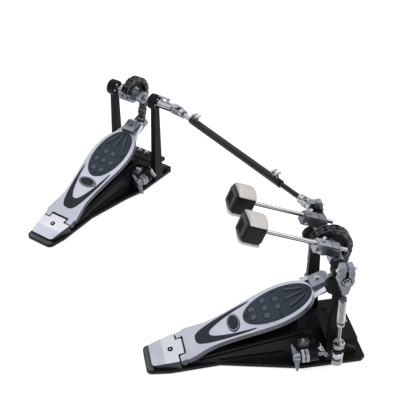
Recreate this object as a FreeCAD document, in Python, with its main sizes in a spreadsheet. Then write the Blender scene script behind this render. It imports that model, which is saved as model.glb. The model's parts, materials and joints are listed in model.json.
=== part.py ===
"""Double bass drum pedal: a main pedal with two beaters and a remote pedal on a telescopic drive shaft.

The frame is the main pedal's: +X to the player's right, +Y towards the drum, +Z up, with the origin
on the floor below the middle of the main axle. Lengths are millimetres and angles degrees.
"""
import FreeCAD, Part
import math
import os
import re

import Sketcher
from FreeCAD import Vector

SIZES = {
    # Clearances
    "running_gap": 0.05,
    "seat_gap": 0.02,
    "side_gap": 0.4,
    "open_pivot_gap": 0.9,
    "cut_overrun": 2.0,
    # Layout of one pedal
    "axle_height": 190.0,
    "axle_radius": 5.0,
    "hinge_back": 238.0,
    "hinge_height": 21.8,
    "board_rise": 5.7,
    "board_angle": 22.5,
    "right_tower_place": 52.0,
    "left_tower_place": 78.0,
    "remote_tower_place": 52.0,
    # Layout of the remote pedal and the drive shaft
    "remote_left": 560.0,
    "remote_back": 239.0,
    "remote_yaw": 43.7,
    "near_joint_place": 126.0,
    "far_joint_place": 108.0,
    # Base
    "floor_pad_thickness": 2.5,
    "floor_pad_inset": 5.0,
    "heel_pad_length": 46.0,
    "front_pad_length": 64.0,
    "plate_thickness": 6.0,
    "base_back": 299.0,
    "base_heel_half": 30.0,
    "base_hip_back": 262.0,
    "base_hip_half": 34.5,
    "base_waist_back": 180.0,
    "base_waist_half": 30.5,
    "base_shoulder_half": 52.0,
    "base_shoulder_back": 88.0,
    "base_front_back": 52.0,
    "remote_trim": 9.0,
    "base_front_half": 61.0,
    "base_side_front": 47.0,
    "base_nose_front": 54.5,
    "base_nose_half": 55.0,
    "base_left_extra": 30.0,
    "wedge_back": 226.0,
    "wedge_front": 34.0,
    "wedge_back_half": 26.0,
    "wedge_front_half": 41.0,
    "wedge_back_top": 19.0,
    "wedge_front_top": 67.0,
    "wedge_wall": 5.0,
    "groove_width": 4.0,
    "groove_depth": 1.6,
    "groove_end_inset": 12.0,
    "groove_upper_drop": 7.0,
    "groove_lower_rise": 13.0,
    "groove_lower_inset": 43.0,
    # Heel plate and hinge
    "heel_length": 52.0,
    "heel_angle": 13.0,
    "heel_back_half": 25.5,
    "heel_front_half": 33.7,
    "heel_thickness": 4.0,
    "hinge_pin_radius": 2.5,
    "knuckle_radius": 5.5,
    "hinge_lap": 4.0,
    "centre_knuckle_half": 20.0,
    "heel_screw_back": 18.0,
    "heel_screw_radius": 4.5,
    "heel_screw_head": 1.6,
    "heel_screw_shank": 2.5,
    # Footboard
    "board_thickness": 8.5,
    "board_start": 6.5,
    "board_nose_gap": 42.0,
    "board_half_width": 43.5,
    "pad_centre": 171.0,
    "pad_half_length": 60.0,
    "pad_half_width": 35.0,
    "pad_thickness": 2.0,
    "bump_radius": 5.5,
    "bump_height": 2.0,
    "ridge_width": 3.4,
    "ridge_height": 2.0,
    "inlay_thickness": 0.8,
    "inlay_tip": 26.5,
    "inlay_horn": 128.0,
    "inlay_horn_half": 33.0,
    "badge_centre": 94.0,
    "badge_half_length": 10.8,
    "badge_half_width": 20.5,
    # Toe clamp and chain
    "toe_reach": 274.0,
    "toe_drop": 12.0,
    "toe_block_gap": 10.0,
    "toe_block_length": 44.0,
    "toe_block_depth": 9.0,
    "toe_block_rise": 7.0,
    "toe_block_slope": 6.0,
    "toe_half_width": 14.0,
    "toe_cheek": 3.0,
    "toe_cheek_over": 5.5,
    "chain_radius": 33.0,
    "chain_width": 16.0,
    "chain_pin_radius": 2.4,
    "chain_plate_radius": 3.7,
    "chain_plate_thickness": 1.3,
    "chain_end_angle": 150.0,
    "chain_plane": 10.0,
    # Cam
    "cam_radius": 28.6,
    "cam_width": 17.0,
    "cam_hub_radius": 11.0,
    "cam_hub_width": 26.0,
    "cam_rim": 4.0,
    "cam_web": 8.0,
    "cam_front_angle": 60.0,
    "cam_back_angle": 155.0,
    # Towers and bearings
    "tower_head_radius": 15.5,
    "tower_head_width": 16.0,
    "tower_post_width": 11.0,
    "tower_post_rear": 9.0,
    "tower_post_front": 8.0,
    "tower_foot_flare": 4.0,
    "tower_neck_half": 7.0,
    "tower_bulge_radius": 15.0,
    "tower_bulge_back": 8.0,
    "tower_bulge_drop": 27.0,
    "bearing_radius": 10.0,
    "bearing_width": 8.0,
    "spring_ear_height": 48.0,
    "spring_ear_thickness": 3.5,
    "spring_ear_half": 9.0,
    "spring_ear_over": 9.0,
    # Second axle on the main pedal
    "sleeve_radius": 7.5,
    "sleeve_length": 41.0,
    "spigot_radius": 3.5,
    "spigot_length": 12.0,
    "axle_meeting_gap": 1.0,
    "axle_end_over": 6.0,
    "collar_outer": 31.0,
    "collar_inner": 14.0,
    "collar_radius": 13.5,
    "hub_outer": 26.0,
    "hub_inner": 13.6,
    "hub_radius": 12.0,
    # Beaters
    "beater_lean_angle": 68.0,
    "front_beater_place": 20.0,
    "rear_beater_place": 55.0,
    "rod_offset": 18.3,
    "rod_radius": 3.6,
    "rod_tail": 12.0,
    "rod_length": 170.0,
    "holder_width": 18.0,
    "holder_depth": 15.0,
    "rod_edge": 1.5,
    "holder_start": 1.0,
    "holder_above": 48.0,
    "holder_hub_radius": 11.5,
    "head_low": 133.0,
    "head_length": 37.0,
    "head_half_width": 20.0,
    "head_half_depth": 23.0,
    "core_half_depth": 16.0,
    "core_bevel": 5.0,
    "felt_bevel": 7.0,
    "cap_thickness": 4.0,
    "cap_half_width": 16.0,
    "cap_half_depth": 18.0,
    # Spring assemblies
    "right_lever_place": 74.0,
    "left_lever_place": 95.0,
    "lever_width": 13.0,
    "lever_hub_radius": 13.0,
    "lever_top": 28.0,
    "lever_top_half": 10.0,
    "lever_shoulder": 12.0,
    "lever_shoulder_half": 13.0,
    "lever_split": 2.0,
    "lever_tip": 20.0,
    "lever_arm_half": 6.0,
    "lever_fork_gap": 7.4,
    "lever_fork_depth": 12.0,
    "eye_block": 6.6,
    "spring_wire": 0.9,
    "spring_radius": 5.6,
    "spring_turns": 13,
    "spring_eye_drop": 17.0,
    "spring_length_share": 0.2632,
    "spring_lead": 6.0,
    "spring_seat": 5.0,
    "tension_rod_radius": 2.6,
    "tension_rod_bottom": 16.0,
    "nut_seat_gap": 1.2,
    "nut_seat_radius": 4.2,
    "nut_radius": 10.0,
    "nut_chamfer": 3.0,
    "upper_nut_length": 19.0,
    "lower_nut_length": 27.0,
    # Drive shaft
    "tube_radius": 7.3,
    "tube_start": 75.0,
    "tube_end_gap": 48.0,
    "inner_rod_radius": 4.8,
    "inner_rod_overlap": 90.0,
    "yoke_reach": 12.5,
    "yoke_hub_radius": 8.5,
    "yoke_hub_length": 10.5,
    "far_hub_length": 33.0,
    "yoke_half_width": 9.0,
    "yoke_ear": 3.2,
    "yoke_ear_radius": 5.0,
    "cross_half": 4.0,
    "cross_pin_radius": 2.0,
    "lock_bolt_radius": 2.5,
    "lock_bolt_length": 9.0,
    "lock_bolt_cross": 13.0,
    "lock_bolt_inset": 10.0,
    # Hoop clamp
    "bracket_inner": 44.0,
    "bracket_width": 12.0,
    "boss_radius": 10.0,
    "bracket_back": 58.0,
    "bracket_front": 30.0,
    "bracket_top": 50.0,
    "screw_place": 64.0,
    "screw_height": 34.0,
    "screw_radius": 3.5,
    "screw_tip_front": 16.0,
    "wing_hub_radius": 9.0,
    "wing_hub_length": 12.0,
    "wing_half_span": 23.5,
    "wing_height": 11.0,
    "wing_thickness": 5.0,
    "wing_tilt_angle": 24.0,
    "jaw_half_width": 38.0,
    "jaw_front": 46.0,
    "jaw_back": 6.0,
    "jaw_thickness": 7.0,
    "jaw_pivot_front": 14.0,
    "jaw_pivot_height": 30.0,
    "jaw_barrel_radius": 6.0,
    "jaw_pin_radius": 3.0,
    "jaw_pin_length": 4.0,
    "jaw_ear": 7.5,
    "ear_front": 42.0,
    "ear_front_top": 15.0,
}

# Sizes that follow from others
FOLLOWING_SIZES = {
    "board_length": "toe_reach - board_nose_gap",
    "toe_block_front": "toe_reach - toe_block_gap",
    "toe_block_back": "toe_block_front - toe_block_length",
    "spring_top": "axle_height - lever_tip - spring_eye_drop",
    "spring_bottom": "spring_top - axle_height * spring_length_share",
    "tension_rod_top": "spring_bottom - spring_seat",
}

# Half widths of the footboard along its length, as shares of the widest half width and of the length.
BOARD_OUTLINE_SHARES = [(0.83, 0.03), (0.80, 0.09), (0.70, 0.19), (0.72, 0.33), (0.83, 0.47), (0.96, 0.62),
                        (1.00, 0.75), (0.90, 0.86), (0.62, 0.955)]
# Places of the round bumps on the grip pad, as shares of its half width and half length.
BUMP_SHARES = [(-0.28, -0.72), (0.28, -0.72), (-0.55, -0.36), (0.0, -0.36), (0.55, -0.36), (-0.28, 0.0),
               (0.28, 0.0)]
# Ridges fanned out at the toe end of the pad: start and end as shares of its half width and half length.
RIDGE_SHARES = [(-0.59, 0.31, -0.26, 0.74), (0.0, 0.22, 0.0, 0.77), (0.59, 0.31, 0.26, 0.74)]
# Right half of the V-shaped inlay, out along its outer edge and back: shares of half width and length.
INLAY_SHARES = [(0.0, 0.0), (0.27, 0.01), (0.42, 0.06), (0.59, 0.19), (0.745, 0.39), (0.90, 0.665),
                (1.0, 1.0), (0.86, 0.842), (0.71, 0.645), (0.50, 0.438), (0.288, 0.30), (0.136, 0.251),
                (0.0, 0.241)]
RUN_LINKS = 7

doc = FreeCAD.newDocument("DoublePedal")
sheet = doc.addObject("Spreadsheet::Sheet", "Sizes")
for row, (alias, number) in enumerate(SIZES.items(), start=1):
    sheet.set(f"A{row}", str(number))
    sheet.setAlias(f"A{row}", alias)
for row, (alias, words) in enumerate(FOLLOWING_SIZES.items(), start=len(SIZES) + 1):
    sheet.set(f"A{row}", f"={words}")
    sheet.setAlias(f"A{row}", alias)
doc.recompute()


def size(alias):
    """Value of one cell of the sheet."""
    return float(sheet.get(alias))


def formula(words):
    """A formula in cell names, with the sheet's name put before each of them."""
    names = SIZES.keys() | FOLLOWING_SIZES.keys()
    return re.sub(r"[a-z][a-z_]*", lambda word: f"Sizes.{word[0]}" if word[0] in names else word[0], words)


def bind(thing, target, words):
    """Tie one property of an object to a formula of the sheet."""
    thing.setExpression(target, formula(words))


# Turns that lay a cylinder's axis along each of the frame's axes
AXIS_TURNS = {
    "X": FreeCAD.Rotation(Vector(0, 1, 0), 90),
    "Y": FreeCAD.Rotation(Vector(1, 0, 0), -90),
    "Z": FreeCAD.Rotation(),
}
parts = []


def frame(name, base=("0", "0", "0"), axis=(0, 0, 1), angle="0"):
    """A named placement that sub-parts are set in."""
    holder = doc.addObject("App::Placement", name)
    holder.Placement = FreeCAD.Placement(Vector(), FreeCAD.Rotation(Vector(*axis), 1))
    bind(holder, "Placement.Rotation.Angle", angle)
    put(holder, base)
    return holder


def put(thing, base):
    """Tie an object's place to three formulas."""
    for letter, words in zip("xyz", base):
        bind(thing, f"Placement.Base.{letter}", words)


def box(corner, lengths):
    """A block from its lowest corner and its three lengths."""
    block = doc.addObject("Part::Box", "Block")
    for side, words in zip(("Length", "Width", "Height"), lengths):
        bind(block, side, words)
    put(block, corner)
    return block


def rod(axis, start, radius, length):
    """A round bar along X, Y or Z."""
    bar = doc.addObject("Part::Cylinder", "Bar")
    bind(bar, "Radius", radius)
    bind(bar, "Height", length)
    bar.Placement = FreeCAD.Placement(Vector(), AXIS_TURNS[axis])
    put(bar, start)
    return bar


def cone(axis, start, radius, end_radius, length):
    """A tapered round bar along X, Y or Z."""
    bar = doc.addObject("Part::Cone", "Taper")
    bind(bar, "Radius1", radius)
    bind(bar, "Radius2", end_radius)
    bind(bar, "Height", length)
    bar.Placement = FreeCAD.Placement(Vector(), AXIS_TURNS[axis])
    put(bar, start)
    return bar


def outline(plane, points, depth, start="0"):
    """A sketched polygon padded square to its plane: XY along +Z from start, YZ along +X, XZ along -Y."""
    body = doc.addObject("PartDesign::Body", "Outline")
    sketch = body.newObject("Sketcher::SketchObject", "Polygon")
    support = [item for item in body.Origin.OriginFeatures if item.Role == f"{plane}_Plane"]
    sketch.AttachmentSupport = [(support[0], "")]
    sketch.MapMode = "FlatFace"
    count = len(points)
    ring = [Vector(math.cos(math.tau * k / count), math.sin(math.tau * k / count), 0) for k in range(count)]
    for k in range(count):
        sketch.addGeometry(Part.LineSegment(ring[k], ring[(k + 1) % count]))
    for k in range(count):
        sketch.addConstraint(Sketcher.Constraint("Coincident", k, 2, (k + 1) % count, 1))
    for k, point in enumerate(points):
        for kind, words, here in zip(("DistanceX", "DistanceY"), point, (ring[k].x, ring[k].y)):
            number = sketch.addConstraint(Sketcher.Constraint(kind, -1, 1, k, 1, here))
            sketch.setExpression(f"Constraints[{number}]", formula(words))
    pad = body.newObject("PartDesign::Pad", "Pad")
    pad.Profile = sketch
    bind(pad, "Length", depth)
    across = {"XY": "z", "YZ": "x", "XZ": "y"}[plane]
    bind(body, f"Placement.Base.{across}", start)
    return body


def join(*pieces):
    """One solid from pieces that overlap."""
    whole = doc.addObject("Part::MultiFuse", "Joined")
    whole.Shapes = list(pieces)
    whole.Refine = True
    return whole


def cut(base, *tools):
    """A piece with other pieces taken out of it."""
    whole = doc.addObject("Part::Cut", "Cut")
    whole.Base = base
    whole.Tool = tools[0] if len(tools) == 1 else join(*tools)
    return whole


def group(*pieces):
    """Separate solids kept as one sub-part."""
    whole = doc.addObject("Part::Compound", "Group")
    whole.Links = list(pieces)
    return whole


def made(shape):
    """A piece whose shape follows a rule that no sketch or primitive gives."""
    piece = doc.addObject("Part::Feature", "Formed")
    piece.Shape = shape
    return piece


def sub_part(label, piece, *frames):
    """Name a finished piece and set it in the product of its frames."""
    holder = piece if piece.TypeId in ("Part::Cut", "Part::MultiFuse", "Part::Compound") else group(piece)
    holder.Label = label
    holder.setExpression("Placement", " * ".join(f"{item.Name}.Placement" for item in frames))
    parts.append(holder)


MAIN = frame("MainPedal")
REMOTE = frame("RemotePedal", ("-remote_left", "-remote_back", "0"), angle="remote_yaw")
HEEL = frame("HeelPlate", ("0", "-hinge_back", "hinge_height"), (1, 0, 0), "heel_angle")
TOP = frame("TopFace", ("0", "0", "board_rise"))
BOARD = frame("Footboard", ("0", "-hinge_back", "hinge_height"), (1, 0, 0), "board_angle")
AXLE = frame("Axle", ("0", "0", "axle_height"))
BEATER = frame("Beater", ("0", "0", "axle_height"), (1, 0, 0), "beater_lean_angle")
WING = frame("Wing", ("screw_place", "-bracket_back", "screw_height"), (0, 1, 0), "-wing_tilt_angle")
MAIN_CLAMP = frame("MainClamp", ("0", "0", "0"))
REMOTE_CLAMP = frame("RemoteClamp", ("-remote_trim", "0", "0"))

PLATE_TOP = "(floor_pad_thickness + plate_thickness)"
FAR_X = "(-remote_left + far_joint_place * cos(remote_yaw))"
FAR_Y = "(-remote_back + far_joint_place * sin(remote_yaw))"
SHAFT_ANGLE = f"atan({FAR_Y} / ({FAR_X} + near_joint_place))"
SHAFT_LENGTH = f"sqrt(pow({FAR_X} + near_joint_place; 2) + pow({FAR_Y}; 2))"


def build_base(side, pedal, left_extra, right_trim, clamp_place):
    """Base casting, floor pads, heel plate, heel hardware and hoop clamp of one pedal."""
    left_front = f"(base_front_half + {left_extra})"
    left_nose = f"(base_nose_half + {left_extra})"
    edge = [("base_heel_half", "-base_back"), ("base_hip_half", "-base_hip_back"),
            ("base_waist_half", "-base_waist_back"),
            (f"base_shoulder_half - {right_trim}", "-base_shoulder_back"),
            (f"base_front_half - {right_trim}", "-base_front_back"),
            (f"base_front_half - {right_trim}", "base_side_front"),
            (f"base_nose_half - {right_trim}", "base_nose_front"), (f"-{left_nose}", "base_nose_front"),
            (f"-{left_front}", "base_side_front"), (f"-{left_front}", "-base_front_back"),
            ("-base_waist_half", "-base_waist_back"), ("-base_hip_half", "-base_hip_back"),
            ("-base_heel_half", "-base_back")]
    plate = outline("XY", edge, "plate_thickness", "floor_pad_thickness")
    front_half = f"(wedge_front_half - {right_trim})"
    plan = [("wedge_back_half", "-wedge_back"), (front_half, "-wedge_front"),
            (f"-{front_half}", "-wedge_front"), ("-wedge_back_half", "-wedge_back")]
    profile = [("-wedge_back", "floor_pad_thickness"), ("-wedge_front", "floor_pad_thickness"),
               ("-wedge_front", "wedge_front_top"), ("-wedge_back", "wedge_back_top")]
    slope = "((wedge_front_top - wedge_back_top) / (wedge_back - wedge_front))"
    wedge = doc.addObject("Part::Common", "Wedge")
    wedge.Base = outline("XY", plan, "wedge_front_top")
    wedge.Tool = outline("YZ", profile, "2 * wedge_front_half", "-wedge_front_half")
    inner = [("wedge_back_half - wedge_wall", "-wedge_back + wedge_wall"),
             (f"{front_half} - wedge_wall", "-wedge_front + cut_overrun"),
             (f"wedge_wall - {front_half}", "-wedge_front + cut_overrun"),
             ("wedge_wall - wedge_back_half", "-wedge_back + wedge_wall")]
    hollow = outline("XY", inner, "wedge_front_top", PLATE_TOP)
    ear_back = "jaw_pivot_front - jaw_barrel_radius"
    ear_middle = "jaw_pivot_front + jaw_barrel_radius"
    ear_top = "jaw_pivot_height + jaw_barrel_radius"
    ear_side = [(ear_back, "floor_pad_thickness"), ("ear_front", "floor_pad_thickness"),
                ("ear_front", "ear_front_top"), (ear_middle, "jaw_pivot_height"), (ear_middle, ear_top),
                (ear_back, ear_top)]
    ears = [outline("YZ", ear_side, "jaw_ear", "jaw_half_width + side_gap"),
            outline("YZ", ear_side, "jaw_ear", "-jaw_half_width - side_gap - jaw_ear")]
    tools = [hollow, rod("X", ("-base_front_half", "jaw_pivot_front", "jaw_pivot_height"),
                         "jaw_pin_radius + running_gap", "2 * base_front_half")]
    bands = [("groove_end_inset", f"wedge_back_top + {slope} * groove_end_inset - groove_upper_drop",
              f"wedge_front_top - {slope} * groove_end_inset - groove_upper_drop"),
             ("groove_lower_inset", f"{PLATE_TOP} + groove_width", f"{PLATE_TOP} + groove_lower_rise")]
    for inset, low_start, low_end in bands:
        start = f"({inset} - wedge_back)"
        end = f"(-wedge_front - {inset})"
        band = [(start, low_start), (end, low_end), (end, f"{low_end} + groove_width"),
                (start, f"{low_start} + groove_width")]
        for sign in (1, -1):
            flare = f"atan(({front_half} - wedge_back_half) / (wedge_back - wedge_front)) * {-sign}"
            groove = outline("YZ", band, "2 * groove_depth")
            groove.Placement.Rotation = FreeCAD.Rotation(Vector(0, 0, 1), 1)
            bind(groove, "Placement.Rotation.Angle", flare)
            middle = f"(wedge_back_half + ({front_half} - wedge_back_half) * wedge_back"
            middle = f"{middle} / (wedge_back - wedge_front))"
            bind(groove, "Placement.Base.x", f"{sign} * {middle} - groove_depth")
            tools.append(groove)
    sub_part(f"{side}_base", cut(join(plate, wedge, *ears), *tools), pedal)

    heel_pad = box(("floor_pad_inset - base_heel_half", "floor_pad_inset - base_back", "0"),
                   ("2 * (base_waist_half - floor_pad_inset)", "heel_pad_length", "floor_pad_thickness"))
    front_pad = box(("floor_pad_inset - base_front_half", "base_side_front - front_pad_length", "0"),
                    (f"2 * (base_front_half - floor_pad_inset) - {right_trim}", "front_pad_length",
                     "floor_pad_thickness"))
    sub_part(f"{side}_floor_pads", group(heel_pad, front_pad), pedal)

    heel_front = "-knuckle_radius - side_gap"
    heel_edge = [("heel_front_half", heel_front), ("-heel_front_half", heel_front),
                 ("-heel_back_half", "-heel_length"), ("heel_back_half", "-heel_length")]
    heel = outline("XY", heel_edge, "heel_thickness", "-heel_thickness")
    drop = f"((hinge_height - {PLATE_TOP}) / cos(heel_angle) + board_rise)"
    skirt_edge = [(heel_front, "-heel_thickness"),
                  ("-heel_length", "-heel_thickness"),
                  ("-heel_length", f"heel_length * tan(heel_angle) - {drop}"),
                  (heel_front, f"(knuckle_radius + side_gap) * tan(heel_angle) - {drop}")]
    skirt = outline("YZ", skirt_edge, "2 * heel_back_half", "-heel_back_half")
    barrel = rod("X", ("-centre_knuckle_half", "0", "-board_rise"), "knuckle_radius",
                 "2 * centre_knuckle_half")
    tongue = box(("-centre_knuckle_half", "-2 * knuckle_radius", "-heel_thickness"),
                 ("2 * centre_knuckle_half", "2 * knuckle_radius + hinge_lap", "heel_thickness"))
    pin_hole = rod("X", ("-base_front_half", "0", "-board_rise"), "hinge_pin_radius + seat_gap",
                   "2 * base_front_half")
    screw_hole = rod("Z", ("0", "-heel_screw_back", "-hinge_height"), "heel_screw_shank + seat_gap",
                     "2 * hinge_height")
    sub_part(f"{side}_heel_plate", cut(join(heel, skirt, barrel, tongue), pin_hole, screw_hole), pedal, HEEL,
             TOP)

    pin = rod("X", ("-heel_front_half", "0", "-board_rise"), "hinge_pin_radius", "2 * heel_front_half")
    head = rod("Z", ("0", "-heel_screw_back", "0"), "heel_screw_radius", "heel_screw_head")
    shank = rod("Z", ("0", "-heel_screw_back", "-heel_thickness - heel_screw_head"), "heel_screw_shank",
                "heel_thickness + 2 * heel_screw_head")
    sub_part(f"{side}_heel_hardware", group(pin, join(head, shank)), pedal, HEEL, TOP)

    upright = box(("bracket_inner", "-bracket_back", PLATE_TOP),
                  ("bracket_width", "bracket_back - bracket_front", f"bracket_top - {PLATE_TOP}"))
    boss = rod("Y", ("screw_place", "-bracket_back", "screw_height"), "boss_radius",
               "bracket_back - bracket_front")
    arm = box(("bracket_inner", "-bracket_back", "screw_height - boss_radius"),
              ("screw_place - bracket_inner", "bracket_back - bracket_front", "2 * boss_radius"))
    bracket = join(upright, boss, arm)
    screw_bore = rod("Y", ("screw_place", "-bracket_back - cut_overrun", "screw_height"),
                     "screw_radius + running_gap", "bracket_back")
    sub_part(f"{side}_clamp_bracket", cut(bracket, screw_bore), pedal, clamp_place)

    shaft = rod("Y", ("0", "-side_gap - wing_hub_length", "0"), "screw_radius",
                "wing_hub_length + side_gap + bracket_back - screw_tip_front")
    hub = rod("Y", ("0", "-side_gap - wing_hub_length", "0"), "wing_hub_radius", "wing_hub_length")
    wing = box(("-wing_thickness / 2", "-side_gap - wing_hub_length", "-wing_half_span"),
               ("wing_thickness", "wing_height", "2 * wing_half_span"))
    sub_part(f"{side}_clamp_screw", join(shaft, hub, wing), pedal, clamp_place, WING)

    jaw = box(("-jaw_half_width", "-jaw_back", "jaw_pivot_height - jaw_thickness / 2"),
              ("2 * jaw_half_width", "jaw_front + jaw_back", "jaw_thickness"))
    jaw_barrel = rod("X", ("-jaw_half_width", "jaw_pivot_front", "jaw_pivot_height"), "jaw_barrel_radius",
                     "2 * jaw_half_width")
    jaw_pin = rod("X", ("-jaw_half_width - jaw_pin_length", "jaw_pivot_front", "jaw_pivot_height"),
                  "jaw_pin_radius", "2 * (jaw_half_width + jaw_pin_length)")
    sub_part(f"{side}_clamp_jaw", join(jaw, jaw_barrel, jaw_pin), pedal)


def board_blank():
    """Footboard plate: a waisted outline with a round nose, padded down from the top face."""
    half, length = size("board_half_width"), size("board_length")
    right = [Vector(half * across, length * along, 0) for across, along in BOARD_OUTLINE_SHARES]
    left = [Vector(-point.x, point.y, 0) for point in reversed(right)]
    nose = Vector(0, length, 0)
    curve = Part.BSplineCurve()
    curve.interpolate(right + [nose] + left)
    wire = Part.Wire([curve.toShape(), Part.LineSegment(left[-1], right[0]).toShape()])
    return Part.Face(wire).extrude(Vector(0, 0, -size("board_thickness")))


def build_board(side, pedal, plane):
    """Footboard, grip pad, inlays and toe clamp of one pedal, in the board's own tilted frame."""
    knuckles = []
    for sign in (1, -1):
        low = "centre_knuckle_half + side_gap" if sign == 1 else "-heel_front_half"
        length = "heel_front_half - centre_knuckle_half - side_gap"
        knuckles.append(rod("X", (low, "0", "-board_rise"), "knuckle_radius", length))
        knuckles.append(box((low, "-hinge_lap", "-board_thickness"),
                            (length, "2 * board_start + hinge_lap", "board_thickness")))
    pin_hole = rod("X", ("-base_front_half", "0", "-board_rise"), "hinge_pin_radius + running_gap",
                   "2 * base_front_half")
    notch = rod("X", ("-centre_knuckle_half - side_gap", "0", "-board_rise"), "knuckle_radius + side_gap",
                "2 * (centre_knuckle_half + side_gap)")
    slot = box(("-centre_knuckle_half - side_gap", "0", "-2 * board_thickness"),
               ("2 * (centre_knuckle_half + side_gap)", "knuckle_radius + side_gap", "4 * board_thickness"))
    sub_part(f"{side}_footboard", cut(join(made(board_blank()), *knuckles), pin_hole, notch, slot), pedal,
             BOARD, TOP)

    centre = Vector(0, size("pad_centre"), 0)
    half_width, half_length = size("pad_half_width"), size("pad_half_length")
    rim = Part.Ellipse(centre + Vector(0, half_length, 0), centre + Vector(-half_width, 0, 0), centre)
    pad = Part.Face(Part.Wire(rim.toShape())).extrude(Vector(0, 0, size("pad_thickness")))
    raised = []
    for across, along in BUMP_SHARES:
        at = centre + Vector(across * half_width, along * half_length, 0)
        raised.append(Part.makeCylinder(size("bump_radius"), size("pad_thickness") + size("bump_height"), at))
    for across, along, end_across, end_along in RIDGE_SHARES:
        start = centre + Vector(across * half_width, along * half_length, 0)
        way = centre + Vector(end_across * half_width, end_along * half_length, 0) - start
        bar = Part.makeBox(way.Length, size("ridge_width"), size("pad_thickness") + size("ridge_height"),
                           Vector(0, -size("ridge_width") / 2, 0))
        bar.rotate(Vector(), Vector(0, 0, 1), math.degrees(math.atan2(way.y, way.x)))
        bar.translate(start)
        raised.append(bar)
    sub_part(f"{side}_grip_pad", made(pad.multiFuse(raised).removeSplitter()), pedal, BOARD, TOP)

    arm = [(f"inlay_horn_half * {across}", f"inlay_tip + (inlay_horn - inlay_tip) * {along}")
           for across, along in INLAY_SHARES]
    other = [(f"-({across})", along) for across, along in reversed(arm[1:-1])]
    chevron = outline("XY", arm + other, "inlay_thickness")
    badge_centre = Vector(0, size("badge_centre"), 0)
    oval = Part.Ellipse(badge_centre + Vector(size("badge_half_width"), 0, 0),
                        badge_centre + Vector(0, size("badge_half_length"), 0), badge_centre)
    badge = Part.Face(Part.Wire(oval.toShape())).extrude(Vector(0, 0, size("inlay_thickness")))
    sub_part(f"{side}_inlays", group(chevron, made(badge)), pedal, BOARD, TOP)

    under = "(-board_thickness - toe_block_depth)"
    profile = [("toe_block_back", under), ("toe_block_front", under),
               ("toe_block_front", "toe_block_rise - toe_block_slope"),
               ("toe_block_front - toe_block_slope", "toe_block_rise"),
               ("board_length", "toe_block_rise"), ("board_length", "-board_thickness"),
               ("toe_block_back", "-board_thickness")]
    block = outline("YZ", profile, "2 * toe_half_width", "-toe_half_width")
    cheeks = []
    for low in ("toe_half_width - toe_cheek", "-toe_half_width"):
        cheeks.append(box((low, "toe_block_front - toe_cheek", "-toe_drop - toe_cheek_over"),
                          ("toe_cheek", "toe_reach + toe_cheek_over + toe_cheek - toe_block_front",
                           "2 * toe_cheek_over")))
    sub_part(f"{side}_toe_clamp", join(block, *cheeks), pedal, plane, BOARD, TOP)


def toe_point():
    """Place of the chain's last pin in the plane across the axle, counted from the axle: (y, z)."""
    tilt = math.radians(size("board_angle"))
    reach, drop = size("toe_reach"), size("toe_drop") - size("board_rise")
    along = reach * math.cos(tilt) + drop * math.sin(tilt) - size("hinge_back")
    up = reach * math.sin(tilt) - drop * math.cos(tilt) + size("hinge_height") - size("axle_height")
    return along, up


def chain_plate(first, last, start):
    """One round-ended link plate from pin to pin, at a place along the axle."""
    radius = size("chain_plate_radius")
    forward = (last - first).normalize()
    across = Vector(1, 0, 0).cross(forward) * radius
    reach = forward * radius
    edges = [Part.LineSegment(first + across, last + across).toShape(),
             Part.Arc(last + across, last + reach, last - across).toShape(),
             Part.LineSegment(last - across, first - across).toShape(),
             Part.Arc(first - across, first - reach, first + across).toShape()]
    face = Part.Face(Part.Wire(edges))
    face.translate(Vector(start, 0, 0))
    return face.extrude(Vector(size("chain_plate_thickness"), 0, 0))


def chain(pins, first_is_inner):
    """A double chain over its pins: rollers through the whole width, and plates that change sides."""
    width, thick = size("chain_width"), size("chain_plate_thickness")
    pieces = []
    for pin in pins:
        start = pin - Vector(width / 2, 0, 0)
        pieces.append(Part.makeCylinder(size("chain_pin_radius"), width, start, Vector(1, 0, 0)))
    outer = [-width / 2, -thick / 2, width / 2 - thick]
    inner = [-width / 2 + thick, -2 * thick, thick, width / 2 - 2 * thick]
    for number, (first, last) in enumerate(zip(pins, pins[1:])):
        for start in inner if (number % 2 == 0) == first_is_inner else outer:
            pieces.append(chain_plate(first, last, start))
    return pieces


def build_chain(side, pedal, plane):
    """Straight run from the cam to the toe clamp, and the stretch that wraps over the cam."""
    toe = Vector(0, *toe_point())
    radius = size("chain_radius")
    leave = math.atan2(toe.z, toe.y) + math.acos(radius / toe.Length)
    top = Vector(0, radius * math.cos(leave), radius * math.sin(leave))
    run = [top + (toe - top) * (number / RUN_LINKS) for number in range(RUN_LINKS + 1)]
    pitch = (toe - top).Length / RUN_LINKS
    step = 2 * math.asin(pitch / (2 * radius))
    links = int((math.radians(size("chain_end_angle")) - leave) / step)
    angles = [leave + step * number for number in range(links + 1)]
    wrap = [Vector(0, radius * math.cos(angle), radius * math.sin(angle)) for angle in angles]
    half = size("toe_half_width") - size("toe_cheek") - size("side_gap")
    toe_pin = Part.makeCylinder(size("chain_pin_radius"), 2 * half, toe - Vector(half, 0, 0), Vector(1, 0, 0))
    sub_part(f"{side}_chain_run", made(toe_pin.multiFuse(chain(run[1:], True))), pedal, plane, AXLE)
    first, *others = chain(wrap, False)
    sub_part(f"{side}_chain_wrap", made(first.multiFuse(others)), pedal, plane, AXLE)


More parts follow.
